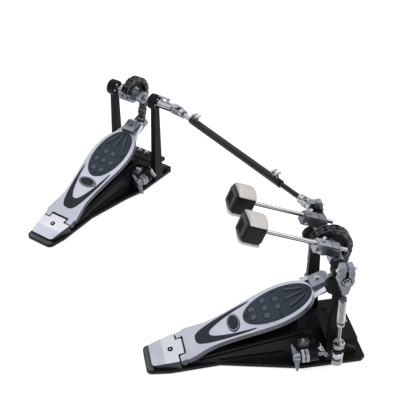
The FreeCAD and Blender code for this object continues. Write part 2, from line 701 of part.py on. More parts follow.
def build_cam(side, pedal, plane):
    """Chain drum: a sector with a rim on a thinner web, and its round hub."""
    left = "-cam_width / 2"
    drum = rod("X", (left, "0", "0"), "cam_radius", "cam_width")
    recess = "(cam_width - cam_web) / 2 + cut_overrun"
    tools = [rod("X", (start, "0", "0"), "cam_radius - cam_rim", recess)
             for start in (f"{left} - cut_overrun", "cam_web / 2")]
    gone = [("0", "0"), ("2 * cam_radius * cos(cam_back_angle)", "2 * cam_radius * sin(cam_back_angle)"),
            ("-2 * cam_radius", "-2 * cam_radius"), ("0", "-2 * cam_radius"),
            ("2 * cam_radius * cos(cam_front_angle)", "-2 * cam_radius * sin(cam_front_angle)")]
    tools.append(outline("YZ", gone, "2 * cam_width", "-cam_width"))
    hub = rod("X", ("-cam_hub_width / 2", "0", "0"), "cam_hub_radius", "cam_hub_width")
    bore = rod("X", ("-cam_hub_width", "0", "0"), "axle_radius + seat_gap", "2 * cam_hub_width")
    sub_part(f"{side}_cam", cut(join(cut(drum, *tools), hub), bore), pedal, plane, AXLE)


def tower(place, inward, bulge, ear):
    """One tower: a tapered post with a round bearing head, and an ear for the spring where there is one."""
    low = f"{place} - tower_post_width / 2"
    post_edge = [("-tower_post_rear - tower_foot_flare", f"{PLATE_TOP} - axle_height"),
                 ("tower_post_front + tower_foot_flare", f"{PLATE_TOP} - axle_height"),
                 ("tower_neck_half", "0"), ("-tower_neck_half", "0")]
    pieces = [outline("YZ", post_edge, "tower_post_width", low),
              rod("X", (f"{place} - tower_head_width / 2", "0", "0"), "tower_head_radius",
                  "tower_head_width")]
    tools = [rod("X", (f"{place} - tower_head_width", "0", "0"), "bearing_radius + seat_gap",
                 "2 * tower_head_width")]
    if bulge:
        pieces.append(rod("X", (low, "-tower_bulge_back", "-tower_bulge_drop"), "tower_bulge_radius",
                          "tower_post_width"))
    if ear:
        length = f"abs({ear} - ({place})) + spring_ear_over"
        start = place if inward == 1 else f"{ear} - spring_ear_over"
        floor = "spring_ear_height - axle_height"
        pieces.append(box((start, "-spring_ear_half", floor),
                          (length, "2 * spring_ear_half", "spring_ear_thickness")))
        tools.append(rod("Z", (ear, "0", f"{floor} - cut_overrun"), "tension_rod_radius + open_pivot_gap",
                         "spring_ear_thickness + 2 * cut_overrun"))
    return cut(join(*pieces), *tools)


def bearing(place, radius):
    """Bush pressed into a tower's head."""
    ring = rod("X", (f"{place} - bearing_width / 2", "0", "0"), "bearing_radius", "bearing_width")
    hole = rod("X", (f"{place} - bearing_width", "0", "0"), f"{radius} + running_gap", "2 * bearing_width")
    return cut(ring, hole)


def build_beater(side, place):
    """Rod, core and felt of one beater, in the leaning beater frame."""
    bar = rod("Z", (place, "rod_offset", "-rod_tail"), "rod_radius", "rod_length")
    sub_part(f"{side}_beater_rod", bar, MAIN, BEATER)
    low = "(head_low + core_bevel)"
    high = "(head_low + head_length - cap_thickness)"
    core_side = [("-head_half_width", low), ("core_bevel - head_half_width", "head_low"),
                 ("head_half_width - core_bevel", "head_low"), ("head_half_width", low),
                 ("head_half_width", high), ("-head_half_width", high)]
    core = outline("XZ", [(f"{place} + {across}", along) for across, along in core_side],
                   "2 * core_half_depth", "core_half_depth + rod_offset")
    cap = box((f"{place} - cap_half_width", "rod_offset - cap_half_depth", high),
              ("2 * cap_half_width", "2 * cap_half_depth", "cap_thickness"))
    hole = rod("Z", (place, "rod_offset", "0"), "rod_radius + seat_gap", "rod_length - rod_tail + seat_gap")
    sub_part(f"{side}_beater_core", cut(join(core, cap), hole), MAIN, BEATER)
    felts = []
    for sign in (1, -1):
        foot = f"rod_offset + {sign} * core_half_depth"
        face = f"rod_offset + {sign} * head_half_depth"
        section = [(f"{place} - head_half_width", foot), (f"{place} + head_half_width", foot),
                   (f"{place} + head_half_width - felt_bevel", face),
                   (f"{place} - head_half_width + felt_bevel", face)]
        felts.append(outline("XY", section, f"{high} - {low}", low))
    sub_part(f"{side}_beater_felt", group(*felts), MAIN, BEATER)


def build_holder(side, place, radius):
    """Beater holder: a hub on the axle and a long block with an open-topped groove for the rod."""
    hub = rod("X", (f"{place} - holder_width / 2", "0", "0"), "holder_hub_radius", "holder_width")
    block = box((f"{place} - holder_width / 2", "rod_offset + rod_edge - holder_depth", "holder_start"),
                ("holder_width", "holder_depth", "holder_above - holder_start"))
    bore = rod("X", (f"{place} - holder_width", "0", "0"), f"{radius} + seat_gap", "2 * holder_width")
    hole = rod("Z", (place, "rod_offset", "-holder_above"), "rod_radius + running_gap", "3 * holder_above")
    sub_part(f"{side}_beater_holder", cut(join(hub, block), bore, hole), MAIN, BEATER)


def build_lever(side, place):
    """Spring lever: split clamp on the axle, and a fork below it for the spring's eye."""
    low = f"{place} - lever_width / 2"
    hub = rod("X", (low, "0", "0"), "lever_hub_radius", "lever_width")
    shield = [("-lever_top_half", "lever_top"), ("lever_top_half", "lever_top"),
              ("lever_shoulder_half", "lever_shoulder"), ("lever_arm_half", "-lever_tip"),
              ("-lever_arm_half", "-lever_tip"), ("-lever_shoulder_half", "lever_shoulder")]
    plate = outline("YZ", shield, "lever_width", low)
    end = rod("X", (low, "0", "-lever_tip"), "lever_arm_half", "lever_width")
    bore = rod("X", (f"{place} - lever_width", "0", "0"), "axle_radius + seat_gap", "2 * lever_width")
    split = box((f"{place} - lever_width", "-lever_split / 2", "0"),
                ("2 * lever_width", "lever_split", "2 * lever_top"))
    fork = box((f"{place} - lever_fork_gap / 2", "-2 * lever_arm_half", "-lever_tip - 2 * lever_arm_half"),
               ("lever_fork_gap", "4 * lever_arm_half", "2 * lever_arm_half + lever_fork_depth"))
    sub_part(f"{side}_spring_lever", cut(join(hub, plate, end), bore, split, fork), MAIN, AXLE)


def biarc(start, start_way, end, end_way):
    """Two arcs that leave start along its way and reach end along its way."""
    chord = end - start
    both = start_way + end_way
    spread = 2 * (1 - start_way.dot(end_way))
    lead = chord.dot(both)
    if spread < 1e-9:
        reach = chord.dot(chord) / (2 * lead)
    else:
        reach = (math.sqrt(lead * lead + spread * chord.dot(chord)) - lead) / spread
    knee, elbow = start + start_way * reach, end - end_way * reach
    meeting = (knee + elbow) * 0.5
    edges = []
    for first, corner, last in ((start, knee, meeting), (meeting, elbow, end)):
        ways = (corner - first).normalize(), (last - corner).normalize()
        weight = math.sqrt((1 + ways[0].dot(ways[1])) / 2)
        middle = (first + corner * (2 * weight) + last) * (1 / (2 + 2 * weight))
        edges.append(Part.Arc(first, middle, last).toShape())
    return edges


def spring_tube():
    """Close-wound tension spring as one tube, standing on its axis, with straight ends on the axis."""
    wire, radius, turns = size("spring_wire"), size("spring_radius"), int(size("spring_turns"))
    lead = size("spring_lead")
    low, high = size("spring_bottom") + lead, size("spring_top") - lead
    rise = (high - low) / turns
    slope = math.hypot(math.tau * radius, rise)

    def spot(turn):
        angle = math.tau * turn
        return Vector(radius * math.cos(angle), radius * math.sin(angle), low + rise * turn)

    def way(turn):
        angle = math.tau * turn
        around = Vector(-radius * math.sin(angle), radius * math.cos(angle), rise / math.tau)
        return around * (math.tau / slope)

    up = Vector(0, 0, 1)
    foot, crown = Vector(0, 0, low - lead), Vector(0, 0, high + lead)
    stub = up * (2 * wire)
    edges = [Part.LineSegment(foot, foot + stub).toShape()]
    edges += biarc(foot + stub, up, spot(0), way(0))
    for quarter in range(4 * turns):
        edges += biarc(spot(quarter / 4), way(quarter / 4), spot((quarter + 1) / 4), way((quarter + 1) / 4))
    edges += biarc(spot(turns), way(turns), crown - stub, up)
    edges.append(Part.LineSegment(crown - stub, crown).toShape())
    path = Part.Wire(edges)
    ring = Part.Wire(Part.Circle(foot, up, wire).toShape())
    tube = path.makePipeShell([ring], True, False)
    gap = min((spot(number / 12) - spot(number / 12 + 1)).Length for number in range(12)) - 2 * wire
    print("spring: least gap between curls", round(gap, 3), "mm, volume share",
          round(tube.Volume / (math.pi * wire * wire * path.Length), 4))
    return tube


def build_spring(side, place):
    """Spring with its eye block, threaded rod through the tower's ear, and the two nuts on it."""
    stand = frame(f"{side.capitalize()}Spring", (place, "0", "0"))
    eye = box(("-eye_block / 2", "-eye_block / 2", "spring_top"),
              ("eye_block", "eye_block", "axle_height - lever_tip + eye_block / 2 - spring_top"))
    sub_part(f"{side}_spring", group(made(spring_tube()), eye), MAIN, stand)

    thread = rod("Z", ("0", "0", "tension_rod_bottom"), "tension_rod_radius",
                 "tension_rod_top - tension_rod_bottom")
    seat = rod("Z", ("0", "0", "tension_rod_top"), "spring_radius + spring_wire",
               "spring_bottom - tension_rod_top")
    sub_part(f"{side}_spring_rod", join(thread, seat), MAIN, stand)

    hole = rod("Z", ("0", "0", "0"), "tension_rod_radius + running_gap", "axle_height")
    ear_top = "(spring_ear_height + spring_ear_thickness + nut_seat_gap)"
    upper = join(cone("Z", ("0", "0", ear_top), "nut_seat_radius", "nut_radius", "nut_chamfer"),
                 rod("Z", ("0", "0", f"{ear_top} + nut_chamfer"), "nut_radius",
                     "upper_nut_length - nut_chamfer"))
    low = "(spring_ear_height - nut_seat_gap - lower_nut_length)"
    lower = join(rod("Z", ("0", "0", low), "nut_radius", "lower_nut_length - nut_chamfer"),
                 cone("Z", ("0", "0", f"{low} + lower_nut_length - nut_chamfer"), "nut_radius",
                      "nut_seat_radius", "nut_chamfer"))
    other_hole = rod("Z", ("0", "0", "0"), "tension_rod_radius + running_gap", "axle_height")
    sub_part(f"{side}_spring_nuts", group(cut(upper, hole), cut(lower, other_hole)), MAIN, stand)


def yoke(level, hub_length):
    """A fork that reaches to the joint's centre from a hub behind it, with its ears above and below."""
    inside = "(yoke_half_width - yoke_ear)"
    hub = rod("X", (f"-yoke_reach - {hub_length}", "0", "0"), "yoke_hub_radius", hub_length)
    back = box(("-yoke_reach", "-yoke_ear_radius", "-yoke_half_width"),
               ("yoke_ear", "2 * yoke_ear_radius", "2 * yoke_half_width"))
    pieces = [hub, back]
    for low in ("-yoke_half_width", inside):
        pieces.append(box(("-yoke_reach", "-yoke_ear_radius", low),
                          ("yoke_reach", "2 * yoke_ear_radius", "yoke_ear")))
        pieces.append(rod("Z", ("0", "0", low), "yoke_ear_radius", "yoke_ear"))
    gap = "running_gap" if level == "upright" else "open_pivot_gap"
    hole = rod("Z", ("0", "0", "-2 * yoke_half_width"), f"cross_pin_radius + {gap}", "4 * yoke_half_width")
    return pieces, hole


def build_yoke(label, level, bore, joint, hub_length="yoke_hub_length"):
    """One yoke with its bore, set at a universal joint."""
    pieces, pin_hole = yoke(level, hub_length)
    shaft_hole = rod("X", (f"-yoke_reach - {hub_length} - cut_overrun", "0", "0"), f"{bore} + seat_gap",
                     f"{hub_length} + cut_overrun")
    roll = frame(f"Roll{len(parts)}", axis=(1, 0, 0), angle="90" if level == "lying" else "0")
    sub_part(label, cut(join(*pieces), pin_hole, shaft_hole), joint, roll)


def build_cross(label, joint):
    """Cross of a universal joint: a block with an upright and a lying pin."""
    block = box(("-cross_half", "-cross_half", "-cross_half"),
                ("2 * cross_half", "2 * cross_half", "2 * cross_half"))
    pins = [rod(axis, tuple("-yoke_half_width" if axis == letter else "0" for letter in "XYZ"),
                "cross_pin_radius", "2 * yoke_half_width") for axis in "YZ"]
    sub_part(label, join(block, *pins), joint)


def build_shaft():
    """Drive shaft: outer tube, telescopic inner rod, lock bolts and both universal joints."""
    near = ("-near_joint_place", "0", "axle_height")
    toward_axle = frame("NearAxleSide", near, angle="180")
    toward_shaft = frame("NearShaftSide", near, angle=SHAFT_ANGLE)
    far_shaft = frame("FarShaftSide", (FAR_X, FAR_Y, "axle_height"), angle=f"{SHAFT_ANGLE} + 180 deg")
    far_axle = frame("FarAxleSide", (FAR_X, FAR_Y, "axle_height"), angle="remote_yaw")
    along = frame("ShaftLine", near, angle=f"{SHAFT_ANGLE} + 180 deg")

    build_yoke("near_axle_yoke", "upright", "axle_radius", toward_axle)
    build_yoke("tube_yoke", "lying", "inner_rod_radius", toward_shaft)
    build_yoke("rod_yoke", "lying", "inner_rod_radius", far_shaft)
    build_yoke("far_axle_yoke", "upright", "axle_radius", far_axle, "far_hub_length")
    build_cross("near_cross", along)
    build_cross("far_cross", far_shaft)

    tube_length = f"{SHAFT_LENGTH} - tube_start - tube_end_gap"
    pipe = rod("X", ("tube_start", "0", "0"), "tube_radius", tube_length)
    stub = rod("X", ("yoke_reach", "0", "0"), "inner_rod_radius", "tube_start - yoke_reach")
    rod_start = f"({SHAFT_LENGTH} - tube_end_gap - inner_rod_overlap)"
    tube_bore = "(inner_rod_radius + running_gap)"
    bore = rod("X", (f"{rod_start} - inner_rod_overlap", "0", "0"), tube_bore,
               "2 * inner_rod_overlap + tube_end_gap")
    holes = []
    bolts = []
    ends = ("tube_start + lock_bolt_inset", f"{SHAFT_LENGTH} - tube_end_gap - lock_bolt_inset")
    for place in ends:
        for step in ("0", "lock_bolt_inset"):
            sign = "+" if place == ends[0] else "-"
            spot = f"{place} {sign} {step}"
            bolts.append(join(rod("Z", (spot, "0", f"{tube_bore} + side_gap"), "lock_bolt_radius",
                                  f"tube_radius + lock_bolt_length - {tube_bore} - side_gap"),
                              rod("Y", (spot, "-lock_bolt_cross / 2", "tube_radius + lock_bolt_length"),
                                  "lock_bolt_radius", "lock_bolt_cross")))
            holes.append(rod("Z", (spot, "0", f"{tube_bore} + side_gap / 2"), "lock_bolt_radius + seat_gap",
                             "tube_radius"))
    sub_part("shaft_tube", cut(join(pipe, stub), bore, *holes), along)
    sub_part("shaft_lock_bolts", group(*bolts), along)
    inner = rod("X", (rod_start, "0", "0"), "inner_rod_radius",
                "tube_end_gap + inner_rod_overlap - yoke_reach")
    sub_part("shaft_rod", inner, along)


def build_axles():
    """Main axle with its spigot, the sleeved left axle that it runs in, and the remote axle."""
    left_end = "(-chain_plane - cam_hub_width / 2 - axle_meeting_gap)"
    right_end = "(right_lever_place + lever_width / 2 + axle_end_over)"
    bar = rod("X", (left_end, "0", "0"), "axle_radius", f"{right_end} - {left_end}")
    spigot = rod("X", (f"{left_end} - axle_meeting_gap - spigot_length", "0", "0"), "spigot_radius",
                 "2 * spigot_length")
    sub_part("main_axle", join(bar, spigot), MAIN, AXLE)
    sleeve_end = f"({left_end} - axle_meeting_gap)"
    sleeve = rod("X", (f"{sleeve_end} - sleeve_length", "0", "0"), "sleeve_radius", "sleeve_length")
    yoke_end = "(-near_joint_place + yoke_reach)"
    left_bar = rod("X", (yoke_end, "0", "0"), "axle_radius", f"{sleeve_end} - sleeve_length - {yoke_end}")
    socket = rod("X", (f"{sleeve_end} - spigot_length - axle_meeting_gap", "0", "0"),
                 "spigot_radius + running_gap", "2 * spigot_length")
    sub_part("left_axle", cut(join(sleeve, left_bar), socket), MAIN, AXLE)
    remote_left = "(-remote_tower_place - tower_head_width / 2 - axle_end_over)"
    remote_bar = rod("X", (remote_left, "0", "0"), "axle_radius",
                     f"far_joint_place - yoke_reach - {remote_left}")
    collars = []
    for low, high, radius in (("-collar_outer", "-collar_inner", "collar_radius"),
                              ("hub_inner", "hub_outer", "hub_radius")):
        ring = rod("X", (low, "0", "0"), radius, f"{high} - ({low})")
        hole = rod("X", (f"{low} - cut_overrun", "0", "0"), "axle_radius + seat_gap", "2 * collar_outer")
        collars.append(cut(ring, hole))
    sub_part("remote_axle", group(remote_bar, *collars), REMOTE, AXLE)


build_base("main", MAIN, "base_left_extra", "0", MAIN_CLAMP)
build_base("remote", REMOTE, "0", "remote_trim", REMOTE_CLAMP)
main_plane = frame("MainChainPlane", ("-chain_plane", "0", "0"))
remote_plane = frame("RemoteChainPlane")
for side, pedal, plane in (("main", MAIN, main_plane), ("remote", REMOTE, remote_plane)):
    build_board(side, pedal, plane)
    build_chain(side, pedal, plane)
    build_cam(side, pedal, plane)
sub_part("main_towers", group(tower("right_tower_place", 1, True, "right_lever_place"),
                              tower("-left_tower_place", -1, True, "-left_lever_place")), MAIN, AXLE)
sub_part("main_bearings", group(bearing("right_tower_place", "axle_radius"),
                                bearing("-left_tower_place", "axle_radius")), MAIN, AXLE)
sub_part("remote_towers", group(tower("remote_tower_place", 1, False, ""),
                                tower("-remote_tower_place", -1, False, "")), REMOTE, AXLE)
sub_part("remote_bearings", group(bearing("remote_tower_place", "axle_radius"),
                                  bearing("-remote_tower_place", "axle_radius")), REMOTE, AXLE)
build_axles()
for side, place, radius in (("front", "front_beater_place", "axle_radius"),
                            ("rear", "-rear_beater_place", "sleeve_radius")):
    build_holder(side, place, radius)
    build_beater(side, place)
for side, place in (("right", "right_lever_place"), ("left", "-left_lever_place")):
    build_lever(side, place)
    build_spring(side, place)
build_shaft()

doc.recompute()
for thing in doc.Objects:
    if "Invalid" in thing.State or "Error" in thing.State:
        raise RuntimeError(f"{thing.Name} ({thing.Label}) failed: {thing.State}")
for piece in parts:
    if piece.Shape.isNull() or not piece.Shape.isValid():
        raise RuntimeError(f"{piece.Label} has no valid shape")
os.makedirs("parts", exist_ok=True)
for piece in parts:
    piece.Shape.exportStep(f"parts/{piece.Label}.step")
print(len(parts), "sub-parts written")
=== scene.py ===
"""Looks of a double bass drum pedal: finishes, rounded castings, chain, springs, beaters and small hardware.

Every piece is in metres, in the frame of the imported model: +X to the player's right, +Y towards the drum,
+Z up, with the origin on the floor below the middle of the main axle. Sizes are written in millimetres.
"""

import json
import logging
import math
from dataclasses import dataclass, replace
from enum import Enum
from functools import cache
from typing import Any, Iterable, Sequence

import bmesh
import bpy
from mathutils import Matrix, Vector

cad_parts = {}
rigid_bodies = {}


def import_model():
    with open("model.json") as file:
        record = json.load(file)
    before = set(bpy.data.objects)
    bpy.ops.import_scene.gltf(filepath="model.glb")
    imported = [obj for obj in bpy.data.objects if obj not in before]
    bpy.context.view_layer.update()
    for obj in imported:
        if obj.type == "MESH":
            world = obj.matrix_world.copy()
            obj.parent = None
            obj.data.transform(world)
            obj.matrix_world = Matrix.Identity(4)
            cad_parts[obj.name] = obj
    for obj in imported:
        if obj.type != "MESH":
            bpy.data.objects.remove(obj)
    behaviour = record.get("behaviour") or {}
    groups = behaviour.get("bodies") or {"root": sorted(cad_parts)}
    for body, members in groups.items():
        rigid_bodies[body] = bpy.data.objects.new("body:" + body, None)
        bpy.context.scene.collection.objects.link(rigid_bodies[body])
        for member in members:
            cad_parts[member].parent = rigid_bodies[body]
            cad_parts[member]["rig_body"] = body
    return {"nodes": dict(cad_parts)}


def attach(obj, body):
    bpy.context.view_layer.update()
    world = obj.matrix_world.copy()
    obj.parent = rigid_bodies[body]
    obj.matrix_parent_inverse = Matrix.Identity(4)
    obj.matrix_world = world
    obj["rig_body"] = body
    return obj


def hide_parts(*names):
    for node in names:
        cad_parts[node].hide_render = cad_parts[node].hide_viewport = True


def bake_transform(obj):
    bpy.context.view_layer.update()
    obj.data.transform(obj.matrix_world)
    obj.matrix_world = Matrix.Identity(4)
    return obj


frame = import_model()
log = logging.getLogger("double_pedal")

MM = 0.001
SMOOTH_ANGLE = math.radians(32)
FLAT_ANGLE = math.radians(1)
FLANK_LIMIT = 0.3
WELD_DISTANCE = 0.002
CORNER_WIDTH = 8.0
CORNER_SEGMENTS = 5
CORNER_REACH = 0.1
QUARTER = math.pi / 2

Colour = tuple[float, float, float]
Pair = tuple[float, float]
Point = tuple[float, float, float]
Outline = tuple[Pair, ...]
Line = tuple[float, float, float, float]
Socket = Any
Shape = bmesh.types.BMesh
Piece = bpy.types.Object
Tree = bpy.types.NodeTree


class Side(Enum):
    """The two pedals of the set."""

    MAIN = "main"
    REMOTE = "remote"


def shift(x: float = 0.0, y: float = 0.0, z: float = 0.0) -> Matrix:
    """A move given in millimetres."""
    return Matrix.Translation(Vector((x, y, z)) * MM)


def turned(axis: str, degrees: float) -> Matrix:
    """A turn about one axis of the current frame."""
    return Matrix.Rotation(math.radians(degrees), 4, axis)


class NodeGraph:
    """A node tree that is filled by naming each node's type, settings and inputs."""

    mix_first, mix_second, mix_result = 6, 7, 2

    def __init__(self, tree: Tree) -> None:
        """Keep the tree that nodes are added to."""
        self.tree = tree

    def add(self, kind: str, inputs: dict[str | int, Any] | None = None, **settings: Any) -> bpy.types.Node:
        """Add one node.

        Args:
            kind: Blender's type name of the node.
            inputs: Values or sockets by input name or number.
            settings: Properties of the node itself.

        Returns:
            The new node.
        """
        node = self.tree.nodes.new(kind)
        for name, value in settings.items():
            setattr(node, name, value)
        for key, value in (inputs or {}).items():
            if isinstance(value, bpy.types.NodeSocket):
                self.link(value, node.inputs[key])
            else:
                node.inputs[key].default_value = value
        return node

    def link(self, output: Socket, target: Socket) -> None:
        """Join an output to an input."""
        self.tree.links.new(output, target)

    def math(self, operation: str, first: Any, second: Any) -> Socket:
        """The result of one operation on two numbers or sockets."""
        return self.add("ShaderNodeMath", {0: first, 1: second}, operation=operation).outputs["Value"]

    def scaled(self, value: Socket, factor: float = 0.5) -> Socket:
        """A size times a plain factor."""
        return self.math("MULTIPLY", value, factor)

    def ranged(self, value: Socket, edges: Pair, low: Any = 0.0, high: Any = 1.0, **settings: Any) -> Socket:
        """A value taken from the range between two edges to another range."""
        inputs = {"Value": value, "From Min": edges[0], "From Max": edges[1], "To Min": low, "To Max": high}
        return self.add("ShaderNodeMapRange", inputs, **settings).outputs["Result"]

    def vector(self, x: Any, y: Any, z: Any) -> Socket:
        """Three numbers or sockets as one vector."""
        return self.add("ShaderNodeCombineXYZ", {"X": x, "Y": y, "Z": z}).outputs["Vector"]

    def parts(self, vector: Socket) -> Any:
        """The three parts of a vector, by axis."""
        return self.add("ShaderNodeSeparateXYZ", {"Vector": vector}).outputs

    def mixed(self, mask: Socket, first: Any, second: Any) -> Socket:
        """Two colours, mixed by a mask."""
        inputs = {"Factor": mask, self.mix_first: first, self.mix_second: second}
        return self.add("ShaderNodeMix", inputs, data_type="RGBA").outputs[self.mix_result]

    def group(self, tree: Tree, sizes: dict[str, float]) -> Any:
        """The outputs of a node group whose inputs are set."""
        return self.add("ShaderNodeGroup", sizes, node_tree=tree).outputs

    def cylinder(self, sides: int, radius: Socket, depth: Socket) -> Socket:
        """A cylinder along Z, round its middle."""
        inputs = {"Vertices": sides, "Radius": radius, "Depth": depth}
        return self.add("GeometryNodeMeshCylinder", inputs).outputs["Mesh"]

    def moved(self, shape: Socket, x: Any = 0.0, y: Any = 0.0, z: Any = 0.0,
              turn: Point = (0, 0, 0)) -> Socket:
        """A shape moved by sizes and turned by a fixed angle."""
        inputs = {"Geometry": shape, "Translation": self.vector(x, y, z), "Rotation": turn}
        return self.add("GeometryNodeTransform", inputs).outputs["Geometry"]

    def joined(self, *shapes: Socket) -> Socket:
        """Several shapes as one."""
        join = self.add("GeometryNodeJoinGeometry")
        for shape in shapes:
            self.link(shape, join.inputs["Geometry"])
        return join.outputs["Geometry"]


class ShaderGroups:
    """Effects that several finishes share, each built once as a node group."""

    cloud_edges: Pair = (0.32, 0.68)
    speck_edges: Pair = (0.55, 0.75)
    settled_facing: Pair = (0.2, 0.9)
    painted_shade_facing: Pair = (-0.25, 0.5)

    @staticmethod
    def _start(name: str, sizes: dict[str, float], results: Sequence[str]) -> tuple[NodeGraph, Any, Any]:
        """Open a new group with float inputs and outputs.

        Args:
            name: Name of the group.
            sizes: Inputs with their first values.
            results: Names of the outputs.

        Returns:
            The graph, its inputs and its outputs, both as sockets by name.
        """
        tree = bpy.data.node_groups.new(name, "ShaderNodeTree")
        for label, value in sizes.items():
            socket = tree.interface.new_socket(label, in_out="INPUT", socket_type="NodeSocketFloat")
            socket.default_value = value
        for label in results:
            tree.interface.new_socket(label, in_out="OUTPUT", socket_type="NodeSocketFloat")
        graph = NodeGraph(tree)
        return graph, graph.add("NodeGroupInput").outputs, graph.add("NodeGroupOutput").inputs

    @staticmethod
    def _noise(graph: NodeGraph, place: Socket, scale: Socket, detail: float,
               roughness: float = 0.5) -> Socket:
        """Cloudy noise at some places of the object."""
        inputs = {"Vector": place, "Scale": scale, "Detail": detail, "Roughness": roughness}
        return graph.add("ShaderNodeTexNoise", inputs).outputs["Fac"]

    @staticmethod
    def _place(graph: NodeGraph) -> Socket:
        """Places in the object's own frame."""
        return graph.add("ShaderNodeTexCoord").outputs["Object"]

    @staticmethod
    def _upward(graph: NodeGraph) -> Socket:
        """How far a face is turned up."""
        return graph.parts(graph.add("ShaderNodeNewGeometry").outputs["Normal"])["Z"]

    @classmethod
    @cache
    def clouds(cls) -> Tree:
        """Soft uneven patches between two values, for handling marks and uneven polish."""
        sizes = {"Scale": 40.0, "Low": 0.2, "High": 0.4}
        graph, size, result = cls._start("Handling clouds", sizes, ("Value", "Mask"))
        noise = cls._noise(graph, cls._place(graph), size["Scale"], detail=5.0, roughness=0.6)
        mask = graph.ranged(noise, cls.cloud_edges)
        graph.link(graph.ranged(mask, (0.0, 1.0), size["Low"], size["High"]), result["Value"])
        graph.link(mask, result["Mask"])
        return graph.tree

    @classmethod
    @cache
    def grain(cls) -> Tree:
        """Fine surface height, drawn out along one axis where a finish is brushed or woven."""
        sizes = {"Scale": 900.0, "Across": 1.0, "Along": 1.0, "Up": 1.0}
        graph, size, result = cls._start("Surface grain", sizes, ("Height",))
        stretch = graph.vector(size["Across"], size["Along"], size["Up"])
        drawn = graph.add("ShaderNodeVectorMath", {0: cls._place(graph), 1: stretch}, operation="MULTIPLY")
        graph.link(cls._noise(graph, drawn.outputs["Vector"], size["Scale"], detail=3.0), result["Height"])
        return graph.tree

    @classmethod
    @cache
    def dust(cls) -> Tree:
        """A mask of sparse specks that sit mostly on faces turned up."""
        graph, size, result = cls._start("Settled dust", {"Scale": 500.0, "Amount": 0.3}, ("Mask",))
        noise = cls._noise(graph, cls._place(graph), size["Scale"], detail=2.0)
        specks = graph.ranged(noise, cls.speck_edges)
        settled = graph.math("MULTIPLY", specks, graph.ranged(cls._upward(graph), cls.settled_facing))
        graph.link(graph.math("MULTIPLY", settled, size["Amount"]), result["Mask"])
        return graph.tree

    @classmethod
    @cache
    def painted_undersides(cls) -> Tree:
        """A mask of the faces turned down for painted shade, standing in for the dark that bright metal
        mirrors below it.
        """
        graph, size, result = cls._start("Dark undersides", {"Amount": 0.5}, ("Mask",))
        down = graph.ranged(cls._upward(graph), cls.painted_shade_facing, 1.0, 0.0, interpolation_type="SMOOTHSTEP")
        graph.link(graph.math("MULTIPLY", down, size["Amount"]), result["Mask"])
        return graph.tree


@dataclass(frozen=True)
class Finish:
    """One surface finish: its colours, gloss, fine relief, settled dust and painted shade on faces turned
    down.
    """

    name: str
    slot: str
    colour: Colour
    second: Colour
    metallic: float
    rough_low: float
    rough_high: float
    cloud_scale: float = 45.0
    grain_scale: float = 1200.0
    grain_stretch: Point = (1.0, 1.0, 1.0)
    relief: float = 0.15
    relief_depth: float = 0.00004
    dust: float = 0.0
    sheen: float = 0.0
    specular: float = 0.5
    # Strength of the painted shade on faces turned down, standing in for the dark that bright metal mirrors
    under: float = 0.0
    dust_tint: Colour = (0.45, 0.44, 0.42)
    painted_shade_tint: Colour = (0.02, 0.02, 0.024)

    def variant(self, name: str, colour: Colour, second: Colour, **changes: float) -> "Finish":
        """The same finish under a new name, with other colours and a few other values."""
        return replace(self, name=name, colour=colour, second=second, **changes)

    def material(self) -> bpy.types.Material:
        """The finish as a material, made at its first use.

        Returns:
            The Blender material.
        """
        found = bpy.data.materials.get(self.name)
        if found:
            return found
        material = bpy.data.materials.new(self.name)
        material.use_nodes = True
        graph = NodeGraph(material.node_tree)
        shader = material.node_tree.nodes["Principled BSDF"].inputs
        shader["Metallic"].default_value = self.metallic
        shader["Sheen Weight"].default_value = self.sheen
        shader["Specular IOR Level"].default_value = self.specular
        clouds = graph.group(ShaderGroups.clouds(), {"Scale": self.cloud_scale, "Low": self.rough_low,
                                                     "High": self.rough_high})
        graph.link(clouds["Value"], shader["Roughness"])
        colour = graph.mixed(clouds["Mask"], (*self.colour, 1), (*self.second, 1))
        # Settled dust is real; the second mask darkens faces turned down as painted shade
        for amount, effect, tint in ((self.dust, ShaderGroups.dust, self.dust_tint),
                                     (self.under, ShaderGroups.painted_undersides, self.painted_shade_tint)):
            if amount:
                mask = graph.group(effect(), {"Amount": amount})["Mask"]
                colour = graph.mixed(mask, colour, (*tint, 1))
        graph.link(colour, shader["Base Color"])
        across, along, up = self.grain_stretch
        grain = graph.group(ShaderGroups.grain(), {"Scale": self.grain_scale, "Across": across, "Along": along,
                                                   "Up": up})
        bump = graph.add("ShaderNodeBump", {"Height": grain["Height"], "Strength": self.relief,
                                            "Distance": self.relief_depth})
        graph.link(bump.outputs["Normal"], shader["Normal"])
        return material


# Finishes that set under get painted shade on their faces turned down
POLISHED = Finish("polished casting", "polished_board", (0.60, 0.62, 0.72), (0.51, 0.53, 0.62),
                  0.95, 0.26, 0.38, cloud_scale=12.0, grain_scale=700.0, grain_stretch=(0.15, 1.0, 1.0),
                  relief=0.02)
# Lighter copy of the polish for the heel plate ahead of its bend: painted highlight
LIT_HEEL_FRONT = POLISHED.variant("heel casting with painted highlight", (0.76, 0.77, 0.82), (0.66, 0.67, 0.73))
# Dark copy of the polished metal for side faces and the hinge pin: painted shade
SHADED_METAL = Finish("shaded casting side", "polished_board", (0.15, 0.15, 0.175), (0.10, 0.10, 0.12),
               0.9, 0.30, 0.42, cloud_scale=30.0, relief=0.05, under=0.5)
CASTING = Finish("black casting", "black_casting", (0.0055, 0.0070, 0.0078), (0.0090, 0.0108, 0.0118),
                 0.0, 0.40, 0.56, grain_scale=2200.0, relief=0.15, dust=0.012, specular=0.12)
